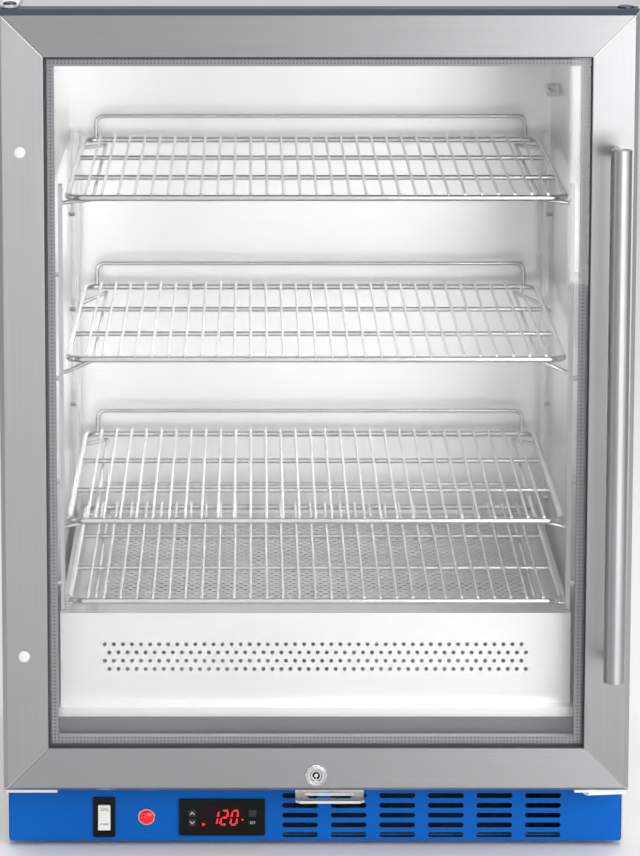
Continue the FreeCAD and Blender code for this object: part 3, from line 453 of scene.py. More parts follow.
motor_paint = moulded_finish("motor_paint", (0.05, 0.05, 0.05), (0.08, 0.08, 0.08), 0.45)
foam_yellow = moulded_finish("foam_yellow", (0.62, 0.52, 0.3), (0.72, 0.62, 0.4), 0.8, (220, 220, 220), 2e-4)
print_ink = moulded_finish("print_ink", (0.02, 0.02, 0.02), (0.03, 0.03, 0.03), 0.5)
legend_ink = moulded_finish("legend_ink", (0.6, 0.6, 0.6), (0.7, 0.7, 0.7), 0.5)
print("paints and plastics are ready")

# %% [markdown]
# Two finishes give light: the lamp's lens and the display's figures. The lens glows from inside, so it
# keeps a glossy skin over its own light. The panes would shade the inside more than real glass does, so
# for shadow and diffuse rays they are plain transparent sheets.

# %% Lit pieces and glass
lamp_red = moulded_finish("lamp_red", (0.75, 0.0, 0.005), (0.85, 0.0, 0.01), 0.12,
                          Emission_Color=(1, 0.0, 0.01, 1), Emission_Strength=0.55, Coat_Weight=0.5)
figure_red = moulded_finish("figure_red", (0.8, 0.0, 0.0), (0.9, 0.0, 0.0), 0.4,
                            Emission_Color=(1, 0.01, 0.015, 1), Emission_Strength=2.2)
window_red = moulded_finish("window_red", (0.006, 0.001, 0.001), (0.009, 0.002, 0.002), 0.15,
                            Specular_IOR_Level=0.2)
spacer_metal, nodes, links, shader = start_finish("spacer_metal", 0.4, Roughness=0.45)
hole = place_group(nodes, dots)
links.new(mix_colours(nodes, links, hole.outputs["Hole"], (0.34, 0.353, 0.366), (0.16, 0.168, 0.176)),
          shader.inputs["Base Color"])

clear_glass, nodes, links, shader = start_finish("clear_glass", 0.0, Roughness=0.02, IOR=1.45,
                                                 Transmission_Weight=1.0)
wipe = place_group(nodes, mottle, Grain=(4, 4, 4))
links.new(mix_colours(nodes, links, wipe.outputs["Patch"], (0.975, 0.98, 0.98), (0.985, 0.99, 0.99)),
          shader.inputs["Base Color"])
see_through = nodes.new("ShaderNodeBsdfTransparent")
see_through.inputs["Color"].default_value = (0.98, 0.985, 0.985, 1)
path = nodes.new("ShaderNodeLightPath")
only_light = math_node(nodes, links, "MAXIMUM", path.outputs["Is Shadow Ray"], path.outputs["Is Diffuse Ray"])
choose = nodes.new("ShaderNodeMixShader")
links.new(only_light, choose.inputs[0])
links.new(shader.outputs[0], choose.inputs[1])
links.new(see_through.outputs[0], choose.inputs[2])
links.new(choose.outputs[0], nodes["Material Output"].inputs["Surface"])
print("glass and lights are ready")

# %% [markdown]
# ## Dressing the CAD parts
# A CAD part keeps its mesh. Only the material in its slot changes, so one table of parts and finishes
# is enough.

# %% Give every CAD part its finish
dressing = {
    painted_shade_rail_steel: ["door_rail_bottom", "door_rail_top"],
    stile_steel: ["door_stile_left", "door_stile_right"],
    shell_steel: ["side_panel_left", "side_panel_right"],
    top_steel: ["top_panel"],
    liner_steel: ["liner"],
    cover_steel: ["heater_cover"],
    deck_steel: ["heater_deck"],
    zinc_steel: ["back_panel", "rear_cover", "base_pan", "base_rail_and_foam_pan"],
    bracket_steel: ["strike_bracket", "hinge_bracket_lower", "hinge_bracket_upper",
                    "corner_plate_right"],
    upright_steel: ["shelf_uprights"],
    wire_chrome: ["shelf_1", "shelf_2", "shelf_3", "shelf_4", "shelf_supports"],
    fitting_chrome: ["lock_barrel", "lock_plug_and_cam", "lamp_ring"],
    handle_steel: ["handle_bar", "handle_posts"],
    clear_glass: ["glass_outer", "glass_inner"],
    spacer_metal: ["glass_spacer"],
    frame_plastic: ["door_inner_frame", "hinge_bushes"],
    sill_paint: ["front_frame"],
    seal_rubber: ["door_gasket"],
    top_strip_painted_shade: ["door_top_trim"],
    blue_paint: ["kick_panel"],
    black_plastic: ["switch_bezel", "display_case", "power_inlet", "fan_blade"],
    white_plastic: ["switch_rocker"],
    plug_plastic: ["handle_hole_plugs"],
    key_plastic: ["key_up", "key_down", "key_set"],
    lamp_red: ["lamp_lens"],
    window_red: ["display_window"],
    dome_chrome: ["hinge_pin_cap", "hinge_hole_plug"],
    foam_yellow: ["insulation"],
    heater_steel: ["heater_element"],
    motor_paint: ["fan_motor", "terminal_box"],
    probe_steel: ["temperature_probe"],
    foot_rubber: ["foot_front_left", "foot_front_right", "foot_rear_left", "foot_rear_right"],
}
dressed = set()
for finish, names in dressing.items():
    for name in names:
        for material_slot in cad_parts[name].material_slots:
            material_slot.material = finish
        dressed.add(name)
print("dressed", len(dressed), "of", len(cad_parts), "left:", set(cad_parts) - dressed)

# %% [markdown]
# ## Punched sheets
# The heater's cover and deck are punched with rows of round holes, each row shifted by half a step. The
# sheet is filled between one row of circles and the edges of a strip. Copies of the strip, every other
# one mirrored, share their long edges, so the whole sheet is one skin without gaps.

# %% A helper that punches a sheet
def flat_patch(bm, x0, x1, y0, y1):
    place = Matrix.Translation(((x0 + x1) / 2, (y0 + y1) / 2, 0)) @ Matrix.Diagonal(
        ((x1 - x0) / 2, (y1 - y0) / 2, 1, 1))
    return bmesh.ops.create_grid(bm, x_segments=1, y_segments=1, size=1, matrix=place)["verts"]


def punched_sheet(bm, centre, across, up, grid, steps, hole, sides, outline, thickness):
    """A sheet with staggered holes round centre. Its outline (x0, x1, y0, y1) is measured from centre."""
    columns, rows = grid
    pitch, row_pitch = steps
    x0, x1, y0, y1 = outline
    top = rows * row_pitch / 2
    flat_patch(bm, x0, x1, top - row_pitch, top)
    bmesh.ops.delete(bm, geom=bm.faces[:], context="FACES_ONLY")
    first = -(columns - 0.5) * pitch / 2
    for i in range(columns):
        place = Matrix.Translation((first + pitch * i, top - row_pitch / 2, 0))
        bmesh.ops.create_circle(bm, segments=sides, radius=hole / 2, matrix=place)
    bmesh.ops.triangle_fill(bm, use_beauty=True, edges=bm.edges[:], normal=(0, 0, 1))
    strip = bm.verts[:] + bm.edges[:] + bm.faces[:]
    for j in range(1, rows):
        copy = only_verts(bmesh.ops.duplicate(bm, geom=strip)["geom"])
        bmesh.ops.translate(bm, vec=(0, -row_pitch * j, 0), verts=copy)
        bmesh.ops.scale(bm, vec=(-1 if j % 2 else 1, 1, 1), verts=copy)
    flat_patch(bm, x0, x1, y0, -top)
    flat_patch(bm, x0, x1, top, y1)
    bmesh.ops.remove_doubles(bm, verts=bm.verts, dist=1e-6)
    across, up = Vector(across), Vector(up)
    out = across.cross(up)
    turn = Matrix((across, up, out)).transposed().to_4x4()
    bmesh.ops.transform(bm, matrix=Matrix.Translation(centre) @ turn, verts=bm.verts)
    inner = bmesh.ops.extrude_face_region(bm, geom=bm.faces[:])["geom"]
    bmesh.ops.translate(bm, vec=-out * thickness, verts=only_verts(inner))


# %% [markdown]
# The cover's front has four rows of 47 holes. Its two sides run back to the rear wall of the heated
# space and are plain.

# %% The heater's cover
SHEET, COLUMNS, HOLE_STEP = 0.0012, 47, 0.00878
COVER_ROWS, COVER_STEP, COVER_HOLE, COVER_ROWS_Z = 4, 0.00823, 0.0040, 0.18655
low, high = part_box("heater_cover")
bm = bmesh.new()
punched_sheet(bm, (0, low.y, COVER_ROWS_Z), (1, 0, 0), (0, 0, 1), (COLUMNS, COVER_ROWS),
              (HOLE_STEP, COVER_STEP), COVER_HOLE, 16,
              (low.x, high.x, low.z - COVER_ROWS_Z, high.z - COVER_ROWS_Z), SHEET)
print("front lies at y", sorted({round(v.co.y, 4) for v in bm.verts}), "for", round(low.y, 4))
block(bm, (low.x, low.y + SHEET, low.z), (low.x + SHEET, high.y, high.z - SHEET))
block(bm, (high.x - SHEET, low.y + SHEET, low.z), (high.x, high.y, high.z - SHEET))
cover = new_piece(bm, "punched_cover", "cabinet", cover_steel)
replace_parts(cover, "heater_cover")

# %% [markdown]
# The deck over the fan is punched all over, apart from plain margins. It has some two thousand holes, so
# each has only eight sides, which is round enough at this size. Its sheet is thinner than the real one,
# because it is seen at a low angle, from where the walls of a thick sheet would close the holes.

# %% The heater's deck
low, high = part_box("heater_deck")
DECK_ROWS, DECK_STEP, DECK_HOLE = 44, 0.0082, 0.0052
FRONT_MARGIN, DECK_SHEET = 0.038, 0.0004
middle_y = low.y + FRONT_MARGIN + DECK_ROWS * DECK_STEP / 2
bm = bmesh.new()
punched_sheet(bm, (0, middle_y, high.z), (1, 0, 0), (0, 1, 0), (COLUMNS, DECK_ROWS),
              (HOLE_STEP, DECK_STEP), DECK_HOLE, 8,
              (low.x, high.x, low.y - middle_y, high.y - middle_y), DECK_SHEET)
print("deck lies at z", sorted({round(v.co.z, 4) for v in bm.verts}), "for", round(low.z, 4))
deck = new_piece(bm, "punched_deck", "cabinet", deck_steel)
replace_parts(deck, "heater_deck")

# %% [markdown]
# ## Welded-wire shelves
# Each shelf is a rim of thick wire with 29 thin wires welded across it, two cross bars under them and a
# low fence at the rear. All four are alike, so one function bends them at four heights.

# %% The shelves
RIM, WIRE, CROSS, FENCE = 0.006, 0.0028, 0.005, 0.004
RIM_BEND, FENCE_BEND, FENCE_INSET, FENCE_RISE = 0.014, 0.008, 0.013, 0.025
WIRE_COUNT, WIRE_SPAN = 29, 0.440
WELD_SINK, WIRE_END_GAP, CROSS_END_GAP = 0.0004, 0.0002, 0.002
SHELF_TOPS = {"shelf_1": 0.6368, "shelf_2": 0.4805, "shelf_3": 0.3223, "shelf_4": 0.2428}
for node, rim_z in SHELF_TOPS.items():
    low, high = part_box(node)
    half = high.x - RIM / 2
    front, back = low.y + RIM / 2, high.y - RIM / 2
    bm = bmesh.new()
    corners = [(0, front, rim_z), (half, front, rim_z), (half, back, rim_z), (-half, back, rim_z),
               (-half, front, rim_z), (0, front, rim_z)]
    bent_wire(bm, corners, RIM, RIM_BEND, sides=16, closed=True)
    for part in (1, 2):
        y = low.y + (high.y - low.y) * part / 3
        rod(bm, (-half + CROSS_END_GAP, y, rim_z), (half - CROSS_END_GAP, y, rim_z), CROSS, 12)
    wire_z = rim_z + RIM / 2 + WIRE / 2 - WELD_SINK
    for i in range(WIRE_COUNT):
        x = WIRE_SPAN * (i / (WIRE_COUNT - 1) - 0.5)
        rod(bm, (x, low.y + WIRE_END_GAP, wire_z), (x, high.y - WIRE_END_GAP, wire_z), WIRE, 10)
    x = half - FENCE_INSET
    foot_z, top_z = rim_z + RIM / 2 - WELD_SINK, rim_z + FENCE_RISE
    bent_wire(bm, [(-x, back, foot_z), (-x, back, top_z), (x, back, top_z), (x, back, foot_z)],
              FENCE, FENCE_BEND, sides=10)
    shelf = new_piece(bm, "wire_" + node, node, wire_chrome, 40)
    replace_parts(shelf, node)

# %% [markdown]
# Under each end of a shelf lies a support wire. Both its ends hook into the slots of an upright, and it
# leans inwards from there to the height of the shelf's rim.

# %% The supports
SUPPORT, SUPPORT_BEND, SUPPORT_GAP, REACH_IN = 0.004, 0.004, 0.0003, 0.033
POST_X, POST_T = 0.245, 0.004
SLOT_FIRST, SLOT_STEP, SLOT_DROP = 0.235, 0.0127, 0.0021
supports_low, supports_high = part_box("shelf_supports")
bm = bmesh.new()
y0, y1 = supports_low.y + SUPPORT / 2, supports_high.y - SUPPORT / 2
end, hook = POST_X + POST_T / 2, POST_X - POST_T / 2 - SUPPORT / 2
inner = POST_X + POST_T / 2 - REACH_IN
for rim_z in SHELF_TOPS.values():
    z = rim_z - CROSS / 2 - SUPPORT / 2 - SUPPORT_GAP
    slot_z = SLOT_FIRST + SLOT_STEP * math.floor((z - SLOT_DROP - SLOT_FIRST) / SLOT_STEP)
    for side in (-1, 1):
        bent_wire(bm, [(side * end, y0, slot_z), (side * hook, y0, slot_z), (side * inner, y0, z),
                       (side * inner, y1, z), (side * hook, y1, slot_z), (side * end, y1, slot_z)],
                  SUPPORT, SUPPORT_BEND, sides=12)
supports = new_piece(bm, "support_wires", "cabinet", wire_chrome, 40)
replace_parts(supports, "shelf_supports")
print("supports", [round(v, 4) for v in supports_low], [round(v, 4) for v in supports_high])

# %% [markdown]
# ## The heating element
# A tubular heater is a sheathed wire bent to a flat loop round the fan. It is seen through the punched
# deck, so it is bent with the same tool as the shelves.

# %% The element and its clips
low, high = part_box("heater_element")
TUBE, TUBE_BEND, ELEMENT_Z, LOOP, TAIL_X = 0.0085, 0.016, 0.178, 0.250, 0.06
CLIP_WALL, CLIP_HALF_D, CLIP_ROOF, CLIP_TOP = 0.0045, 0.004, 0.1824, 0.186
half = 0.200
motor_low, motor_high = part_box("fan_motor")
middle = (motor_low.y + motor_high.y) / 2
front, rear = middle - LOOP / 2, middle + LOOP / 2
bm = bmesh.new()
bent_wire(bm, [(-TAIL_X, high.y, ELEMENT_Z), (-TAIL_X, rear, ELEMENT_Z), (-half, rear, ELEMENT_Z),
               (-half, front, ELEMENT_Z), (half, front, ELEMENT_Z), (half, rear, ELEMENT_Z),
               (TAIL_X, rear, ELEMENT_Z), (TAIL_X, high.y, ELEMENT_Z)], TUBE, TUBE_BEND, sides=14)
clip_front, clip_back = middle - CLIP_HALF_D, middle + CLIP_HALF_D
for side in (-1, 1):
    x = side * half
    for edge in (-2 * CLIP_WALL, CLIP_WALL):
        block(bm, (x + edge, clip_front, low.z), (x + edge + CLIP_WALL, clip_back, CLIP_TOP))
    block(bm, (x - CLIP_WALL, clip_front, CLIP_ROOF), (x + CLIP_WALL, clip_back, CLIP_TOP))
element = new_piece(bm, "bent_element", "cabinet", heater_steel, 40)
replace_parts(element, "heater_element")

# %% [markdown]
# ## Lock
# A cam lock has a barrel with a raised ring, a plug that turns in it, and a cam on the plug's rear end.
# It takes a tubular key, so the keyway is a deep round groove about a centre pin, with one small rib.

# %% The lock's barrel, plug and cam
DOOR_Y, LOCK_Z, BARREL, BORE_R, COLLAR_T = -0.2515, 0.086, 0.02895, 0.00556, 0.002
bm = bmesh.new()
turned(bm, [(BORE_R, 0.0006), (0.0061, 0.0), (0.0079, 0.0), (0.0083, 0.0004), (0.0087, 0.0004),
            (0.0091, 0.0), (0.0098, 0.0001), (0.0105, 0.0008), (0.0105, COLLAR_T), (0.0095, COLLAR_T),
            (0.0095, BARREL + COLLAR_T), (BORE_R, BARREL + COLLAR_T)],
       (0, DOOR_Y - COLLAR_T, LOCK_Z), (0, 1, 0), 48, hollow=True)
barrel = new_piece(bm, "turned_lock_barrel", "door", fitting_chrome)
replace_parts(barrel, "lock_barrel")

PLUG_R, PLUG_LENGTH, KEYWAY_DEPTH = 0.0055, 0.0302, 0.006
CAM_HALF_W, CAM_REACH, CAM_T, CAM_ROUND = 0.005, 0.037, 0.003, 0.0035
bm = bmesh.new()
turned(bm, [(0, 0.0002), (0.0016, 0), (0.0019, 0.0002), (0.0019, KEYWAY_DEPTH), (0.0036, KEYWAY_DEPTH),
            (0.0036, 0.0002), (0.0039, 0), (0.0051, 0), (PLUG_R, 0.0004), (PLUG_R, PLUG_LENGTH),
            (0, PLUG_LENGTH)], (0, DOOR_Y - 0.0012, LOCK_Z), (0, 1, 0), 40)
block(bm, (-0.0004, DOOR_Y - 0.0011, LOCK_Z - 0.0037), (0.0004, DOOR_Y, LOCK_Z - 0.0018))
cam_y = DOOR_Y + 0.029
cam = block(bm, (-CAM_HALF_W, cam_y, LOCK_Z - CAM_HALF_W),
            (CAM_REACH, cam_y + CAM_T, LOCK_Z + CAM_HALF_W))
corners = [e for v in cam for e in v.link_edges if abs(e.verts[0].co.y - e.verts[1].co.y) > 0.001]
bmesh.ops.bevel(bm, geom=list(set(corners)), offset=CAM_ROUND, segments=4, profile=0.5, affect="EDGES",
                material=-1)
plug = new_piece(bm, "lock_plug", "lock", keyed_chrome)
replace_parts(plug, "lock_plug_and_cam")

# %% [markdown]
# ## Domes, plugs and the lamp
# The hinge pin has a domed cap, and so has the unused hinge hole on the right. Two small plugs fill the
# holes where the handle would sit on a door hung the other way. The lamp's lens is a higher dome.

# %% Domed pieces
def middle_of(node):
    low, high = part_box(node)
    return (low + high) / 2, low, high


CAP_R, HEAD_R, CAP_RISE, CAP_WALL = 0.0065, 0.008, 0.0022, 0.0008
mid, low, _ = middle_of("hinge_pin_cap")
bm = bmesh.new()
turned(bm, dome(CAP_R, CAP_RISE, CAP_WALL), (mid.x, mid.y, low.z), (0, 0, 1))
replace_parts(new_piece(bm, "domed_pin_cap", "cabinet", dome_chrome), "hinge_pin_cap")

mid, low, high = middle_of("hinge_hole_plug")
bm = bmesh.new()
neck = 0.0058
block(bm, (mid.x - neck, mid.y - neck, low.z), (mid.x + neck, mid.y + neck, high.z - 0.0034))
turned(bm, dome(CAP_R, 0.0004), (mid.x, mid.y, high.z - 0.0034), (0, 0, 1))
turned(bm, dome(HEAD_R, CAP_RISE, CAP_WALL), (mid.x, mid.y, high.z - 0.003), (0, 0, 1))
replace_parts(new_piece(bm, "domed_hole_plug", "door", dome_chrome), "hinge_hole_plug")

mid, low, high = middle_of("handle_hole_plugs")
bm = bmesh.new()
button, stem = 0.0055, 0.00275
for z in (low.z + button, high.z - button):
    turned(bm, dome(button, 0.0013, 0.0003), (mid.x, DOOR_Y, z), (0, -1, 0))
    block(bm, (mid.x - stem, DOOR_Y, z - stem), (mid.x + stem, high.y, z + stem))
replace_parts(new_piece(bm, "domed_handle_plugs", "door", plug_plastic), "handle_hole_plugs")

mid, _, high = middle_of("lamp_lens")
bm = bmesh.new()
turned(bm, dome(0.0066, 0.0030, 0.0012, 8), (mid.x, high.y, mid.z), (0, -1, 0), 40)
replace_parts(new_piece(bm, "domed_lens", "cabinet", lamp_red), "lamp_lens")

mid, low, high = middle_of("lamp_ring")
bm = bmesh.new()
turned(bm, [(0.0067, 0.0004), (0.0071, 0.0), (0.0080, 0.0), (0.0087, 0.0007), (0.0087, 0.0016),
            (0.0067, 0.0016)], (mid.x, low.y, mid.z), (0, 1, 0), 40, hollow=True)
body = 0.006
block(bm, (mid.x - body, low.y + 0.0013, mid.z - body), (mid.x + body, high.y, mid.z + body))
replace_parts(new_piece(bm, "turned_lamp_ring", "cabinet", fitting_chrome), "lamp_ring")

# %% [markdown]
# ## Handle and feet
# The handle is a satin bar on two round posts. Its ends are cut square and lightly broken. Each foot is a
# moulded pad on a threaded stud. The thread is a zigzag profile, without the helix, which nobody sees
# down there.

# %% The handle's bar and the levelling feet
mid, low, high = middle_of("handle_bar")
length = high.z - low.z
bm = bmesh.new()
turned(bm, [(0, 0), (0.0093, 0), (0.0098, 0.0002), (0.01, 0.0007), (0.01, length - 0.0007),
            (0.0098, length - 0.0002), (0.0093, length), (0, length)], (mid.x, mid.y, low.z), (0, 0, 1), 64)
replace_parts(new_piece(bm, "turned_handle_bar", "door", handle_steel), "handle_bar")

PITCH, PAD, TURNS, ROOT_R, CREST_R = 0.00175, 0.0054, 15, 0.0044, 0.005
for place in ("front_left", "front_right", "rear_left", "rear_right"):
    mid, _, high = middle_of("foot_" + place)
    thread = []
    for i in range(TURNS):
        z = PAD + 0.001 + PITCH * i
        thread += [(ROOT_R, z), (CREST_R, z + PITCH / 2)]
    pad = [(0, 0), (0.0145, 0), (0.0165, 0.001), (0.0168, PAD - 0.0012), (0.0156, PAD), (ROOT_R, PAD)]
    bm = bmesh.new()
    turned(bm, pad + thread + [(0.0042, high.z), (0, high.z)], (mid.x, mid.y, 0), (0, 0, 1), 36)
    foot = new_piece(bm, "turned_foot_" + place, "foot_" + place, foot_rubber)
    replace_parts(foot, "foot_" + place)

# %% [markdown]
# ## Glazing bead
# Between the folded frame and the glass lies a thin black bead. A grid of one face is inset to make a
# ring, its middle is taken out, and the ring is pushed back to the glass.

# %% The bead round the glass
FRAME_FACE, BEAD_W, BEAD_GAP = 0.0435, 0.0010, 0.0001
UPRIGHT = Matrix.Rotation(math.pi / 2, 4, "X")
door_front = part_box("door_rail_top")[0].y
glass_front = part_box("glass_outer")[0].y
half_w = DOOR_HALF - FRAME_FACE - BEAD_GAP
half_h = (DOOR_HIGH - DOOR_LOW) / 2 - FRAME_FACE - BEAD_GAP
bm = bmesh.new()
place = Matrix.Translation((0, door_front + 0.003, (DOOR_LOW + DOOR_HIGH) / 2)) @ UPRIGHT @ (
    Matrix.Diagonal((half_w, half_h, 1, 1)))
bmesh.ops.create_grid(bm, x_segments=1, y_segments=1, size=1, matrix=place)
inside = bm.faces[:]
bmesh.ops.inset_region(bm, faces=inside, thickness=BEAD_W, use_boundary=True, use_even_offset=True)
bmesh.ops.delete(bm, geom=inside, context="FACES")
ring = bmesh.ops.extrude_face_region(bm, geom=bm.faces[:])["geom"]
bmesh.ops.translate(bm, vec=(0, glass_front - door_front - 0.0031, 0), verts=only_verts(ring))
new_piece(bm, "glazing_bead", "door", seal_rubber)

# %% [markdown]
# ## The display
# A seven-segment figure is made of slim bars with pointed ends. A six-sided circle, stretched, is such a
# bar. The figures lean, as they do on most controllers, and they glow.

# %% The figures
SEGMENTS = {"1": "bc", "2": "abged", "0": "abcdef"}
PLACES = {"a": (0, 1, 0), "b": (0.5, 0.5, 1), "c": (0.5, -0.5, 1), "d": (0, -1, 0), "e": (-0.5, -0.5, 1),
          "f": (-0.5, 0.5, 1), "g": (0, 0, 0)}
window_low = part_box("display_window")[0]
FIGURE_W, FIGURE_H, STROKE, LEAN = 0.0056, 0.0140, 0.0017, 0.17
FIGURES_X, FIGURES_Z = (-0.0975, -0.0884, -0.0786), 0.0299
figures_y = window_low.y - 0.00006


def glowing_bar(bm, x, z, upright, length):
    """One segment: a six-sided circle, stretched until only its two ends are pointed."""
    flat = Matrix.Rotation(math.pi / 2, 4, "Y") if upright else Matrix.Identity(4)
    bar = bmesh.ops.create_circle(bm, cap_ends=True, segments=6, radius=1)["verts"]
    for v in bar:
        v.co.y *= STROKE / 2 / math.sin(math.pi / 3)
        v.co.x = math.copysign(length / 2 - (0 if abs(v.co.x) > 0.9 else STROKE / 2), v.co.x)
    bmesh.ops.transform(bm, matrix=Matrix.Translation((x, figures_y, z)) @ flat @ UPRIGHT, verts=bar)


bm = bmesh.new()
for figure, centre_x in zip("120", FIGURES_X):
    for name in SEGMENTS[figure]:
        px, pz, upright = PLACES[name]
        length = FIGURE_H / 2 - 0.0005 if upright else FIGURE_W + 0.0006
        glowing_bar(bm, centre_x + px * FIGURE_W, FIGURES_Z + pz * FIGURE_H / 2, upright, length)
for v in bm.verts:
    v.co.x += (v.co.z - FIGURES_Z) * LEAN
dot = Matrix.Translation((-0.0707, figures_y, 0.0277)) @ UPRIGHT
bmesh.ops.create_circle(bm, cap_ends=True, segments=12, radius=0.0008, matrix=dot)
triangle = Matrix.Translation((-0.1087, figures_y, 0.0230)) @ UPRIGHT @ Matrix.Rotation(math.pi / 6, 4, "Z")
bmesh.ops.create_circle(bm, cap_ends=True, segments=3, radius=0.0019, matrix=triangle)
bm.normal_update()
bmesh.ops.reverse_faces(bm, faces=[f for f in bm.faces if f.normal.y > 0])
bmesh.ops.solidify(bm, geom=bm.faces[:], thickness=0.00005)
new_piece(bm, "display_figures", "cabinet", figure_red)

# %% [markdown]
# ## Lettering
# The switch and the keys carry plain words and arrows. A text object is typeset flat, made a mesh, and
# only then moved to its place, so that its object stays at the origin.

# %% Words on the switch and the display
def lettering(name, words, size, place, body, finish, thickness=0.00004):
    """Printed words on a face: place puts their middle on it and turns them to face out."""
    curve = bpy.data.curves.new(name, "FONT")
    curve.body = words
    curve.size = size
    curve.align_x, curve.align_y = "CENTER", "CENTER"
    curve.resolution_u = 3
    typeset = bpy.data.objects.new(name, curve)
    bpy.context.scene.collection.objects.link(typeset)
    bpy.context.view_layer.update()
    flat = bpy.data.meshes.new_from_object(typeset)
    bpy.data.objects.remove(typeset)
    bm = bmesh.new()
    bm.from_mesh(flat)
    bmesh.ops.remove_doubles(bm, verts=bm.verts, dist=1e-6)
    bmesh.ops.dissolve_degenerate(bm, dist=1e-6, edges=bm.edges)
    bmesh.ops.transform(bm, matrix=place, verts=bm.verts)
    made = bmesh.ops.extrude_face_region(bm, geom=bm.faces[:])["geom"]
    normal = place.to_3x3() @ Vector((0, 0, 1))
    bmesh.ops.translate(bm, vec=normal.normalized() * thickness, verts=only_verts(made))
    return new_piece(bm, name, body, finish)


SWITCH_LETTERS, KEY_LETTERS, PROUD = 0.0048, 0.0036, 0.00002
ABOVE, BELOW = 0.0078, 0.0072
rocker_low, rocker_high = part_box("switch_rocker")
rocker_x = (rocker_low.x + rocker_high.x) / 2
rocker_mid = (rocker_low.z + rocker_high.z) / 2
top_face_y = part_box("switch_bezel")[0].y - 0.0003
on_place = Matrix.Translation((rocker_x, top_face_y + PROUD, rocker_mid + ABOVE)) @ UPRIGHT
lettering("switch_on", "ON", SWITCH_LETTERS, on_place, "rocker", print_ink)
slope = math.atan2(top_face_y - rocker_low.y, rocker_mid - rocker_low.z)
off_y = top_face_y - BELOW * math.tan(slope) + PROUD
off_place = Matrix.Translation((rocker_x, off_y, rocker_mid - BELOW)) @ (
    Matrix.Rotation(slope, 4, "X") @ UPRIGHT)
lettering("switch_off", "OFF", SWITCH_LETTERS, off_place, "rocker", print_ink)

case_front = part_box("display_case")[0].y
set_low, set_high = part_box("key_set")
set_place = Matrix.Translation(((set_low.x + set_high.x) / 2, case_front + PROUD, 0.0246)) @ UPRIGHT
lettering("word_set", "SET", KEY_LETTERS, set_place, "cabinet", legend_ink)

# %% [markdown]
# The arrows are two short bars each, so a plain cube stretched to each bar's length is enough.

# %% Arrows on the two keys
ARROW_HALF_W, ARROW_HALF_H, ARROW_STROKE = 0.0019, 0.0013, 0.0006


def arrow(name, node, direction):
    """A chevron on a key: an open arrowhead, which points up or down."""
    low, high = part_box(node)
    centre = (low + high) / 2
    bm = bmesh.new()
    for side in (-1, 1):
        rise = direction * ARROW_HALF_H
        start = Vector((centre.x + side * ARROW_HALF_W, low.y - PROUD, centre.z - rise))
        tip = Vector((centre.x, low.y - PROUD, centre.z + rise))
        along = tip - start
        place = Matrix.Translation((start + tip) / 2) @ Matrix.Rotation(-math.atan2(along.z, along.x), 4, "Y")
        place = place @ Matrix.Diagonal((along.length + 0.0005, 0.00006, ARROW_STROKE, 1))
        bmesh.ops.create_cube(bm, size=1, matrix=place)
    return new_piece(bm, name, node, legend_ink)


arrow("arrow_up", "key_up", 1)
arrow("arrow_down", "key_down", -1)

# %% [markdown]
# ## Screws
# Small pan-head screws hold the rear cover, the back panel and the leaf under the right corner. A low cone
# with a round recess in its top reads as a screw from any side.

# %% Screw heads
def screw(bm, at, toward, diameter):
    """A pan-head screw whose head rises from the point at along the unit vector toward."""
    toward = Vector(toward)
    r = diameter / 2
    place = aimed(at, toward) @ Matrix.Translation((0, 0, r * 0.275))
    made = bmesh.ops.create_cone(bm, cap_ends=True, segments=20, radius1=r, radius2=r * 0.72,
                                 depth=r * 0.55, matrix=place)["verts"]
    top = max((f for v in made for f in v.link_faces), key=lambda f: f.calc_center_median().dot(toward))
    bmesh.ops.inset_region(bm, faces=[top], thickness=r * 0.3)
    bmesh.ops.inset_region(bm, faces=[top], thickness=r * 0.08, depth=-r * 0.3)


leaf_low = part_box("corner_plate_right")[0]
cover_low, cover_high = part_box("rear_cover")
back_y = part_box("back_panel")[1].y
COVER_EDGE, COVER_SCREW, PANEL_SCREW, LEAF_SCREW = 0.012, 0.0042, 0.007, 0.008
bm = bmesh.new()
for x in (cover_low.x + COVER_EDGE, 0.0, cover_high.x - COVER_EDGE):
    for z in (cover_low.z + COVER_EDGE, cover_high.z - COVER_EDGE):
        screw(bm, (x, cover_high.y - SHEET, z), (0, 1, 0), COVER_SCREW)
new_piece(bm, "rear_cover_screws", "cabinet", zinc_steel)
bm = bmesh.new()
for x in (-0.27, -0.135, 0.0, 0.135, 0.27):
    screw(bm, (x, back_y, 0.80), (0, 1, 0), PANEL_SCREW)
for x in (-0.27, 0.27):
    for z in (0.2, 0.4, 0.6):
        screw(bm, (x, back_y, z), (0, 1, 0), PANEL_SCREW)
new_piece(bm, "back_panel_screws", "cabinet", zinc_steel)
bm = bmesh.new()
screw(bm, (leaf_low.x + 0.014, leaf_low.y + 0.009, leaf_low.z), (0, 0, -1), LEAF_SCREW)
new_piece(bm, "leaf_screw", "cabinet", zinc_steel)

# %% [markdown]
# ## Studio
# The cabinet stands on a pale floor in front of a pale sweep, which is darker to the sides so that round
# steel shows its shape. One large softbox stands at the front right. Brushed steel blurs it across the
# grain, so the rails grow lighter to the right and the stiles to the top. Side lights draw the edges.

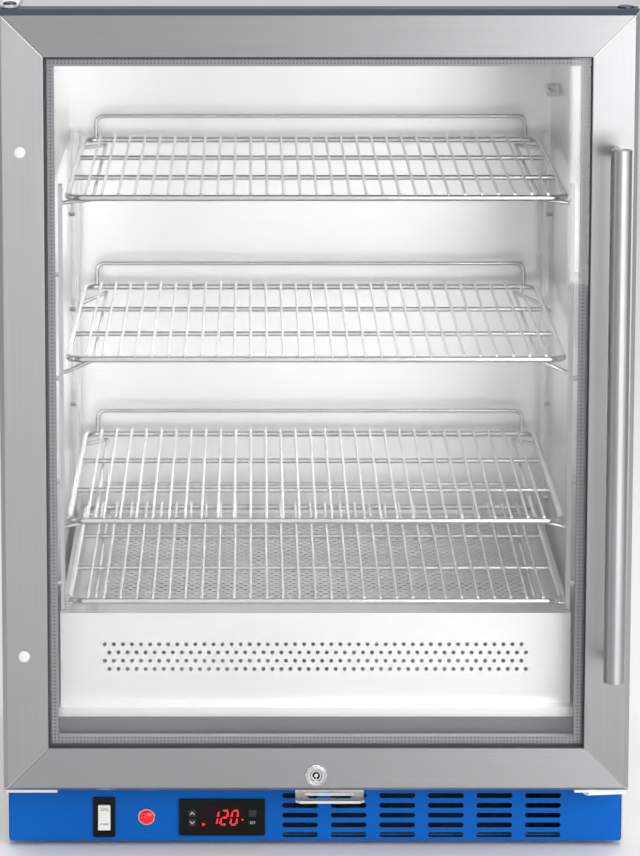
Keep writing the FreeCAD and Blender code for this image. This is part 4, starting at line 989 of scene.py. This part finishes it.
# %% Floor, light and camera
floor_finish, nodes, links, shader = start_finish("studio_floor", 0.0, Roughness=0.9)
shader.inputs["Base Color"].default_value = (0.86, 0.86, 0.86, 1)
bm = bmesh.new()
bmesh.ops.create_grid(bm, x_segments=1, y_segments=1, size=20)
floor_mesh = bpy.data.meshes.new("studio_floor")
bm.to_mesh(floor_mesh)
bm.free()
floor_mesh.materials.append(floor_finish)
floor = bpy.data.objects.new("studio_floor", floor_mesh)
bpy.context.scene.collection.objects.link(floor)
floor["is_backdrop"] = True

world = bpy.data.worlds.new("studio_air")
world.use_nodes = True
nodes, links = world.node_tree.nodes, world.node_tree.links
sideways = math_node(nodes, links, "ABSOLUTE", split_coords(nodes, links, "Generated")["X"])
AHEAD, BESIDE = 1.0, 0.3
links.new(spread(nodes, links, sideways, AHEAD, BESIDE, 0.2, 0.65), nodes["Background"].inputs["Strength"])
nodes["Background"].inputs["Color"].default_value = (1, 1, 1, 1)
bpy.context.scene.world = world


def softbox(name, place, target, size, power):
    light = bpy.data.lights.new(name, "AREA")
    light.shape = "RECTANGLE"
    light.size, light.size_y = size
    light.energy = power
    lamp = bpy.data.objects.new(name, light)
    lamp.location = place
    lamp.rotation_euler = (Vector(target) - Vector(place)).to_track_quat("-Z", "Y").to_euler()
    bpy.context.scene.collection.objects.link(lamp)


softbox("front_softbox", (1.62, -2.84, 1.22), (0, 0, 1.22), (2.6, 2.44), 84)
softbox("left_softbox", (-2.4, -1.2, 1.2), (0, 0, 0.45), (0.8, 2.0), 5)
softbox("right_softbox", (2.4, -1.2, 1.2), (0, 0, 0.45), (1.4, 2.0), 14)
softbox("top_softbox", (0, 0.2, 2.6), (0, 0, 0.8), (3.0, 3.0), 26)

LOOK_DOWN = 0.1658
camera_data = bpy.data.cameras.new("camera")
camera_data.sensor_width = 36
camera_data.lens = 173.9
camera_data.shift_x = 0.0808
camera_data.shift_y = -0.2
camera = bpy.data.objects.new("camera", camera_data)
camera.location = (-0.0626, -4.0795, 1.2306)
camera.rotation_euler = (math.pi / 2 - LOOK_DOWN, 0, 0)
bpy.context.scene.collection.objects.link(camera)
bpy.context.scene.camera = camera
bpy.context.scene.view_settings.view_transform = "Standard"

# %% [markdown]
# ## Size and finish
# The finished model must fill the same box as the CAD model, so its box is measured.

# %% Measure the finished model's box
low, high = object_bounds()
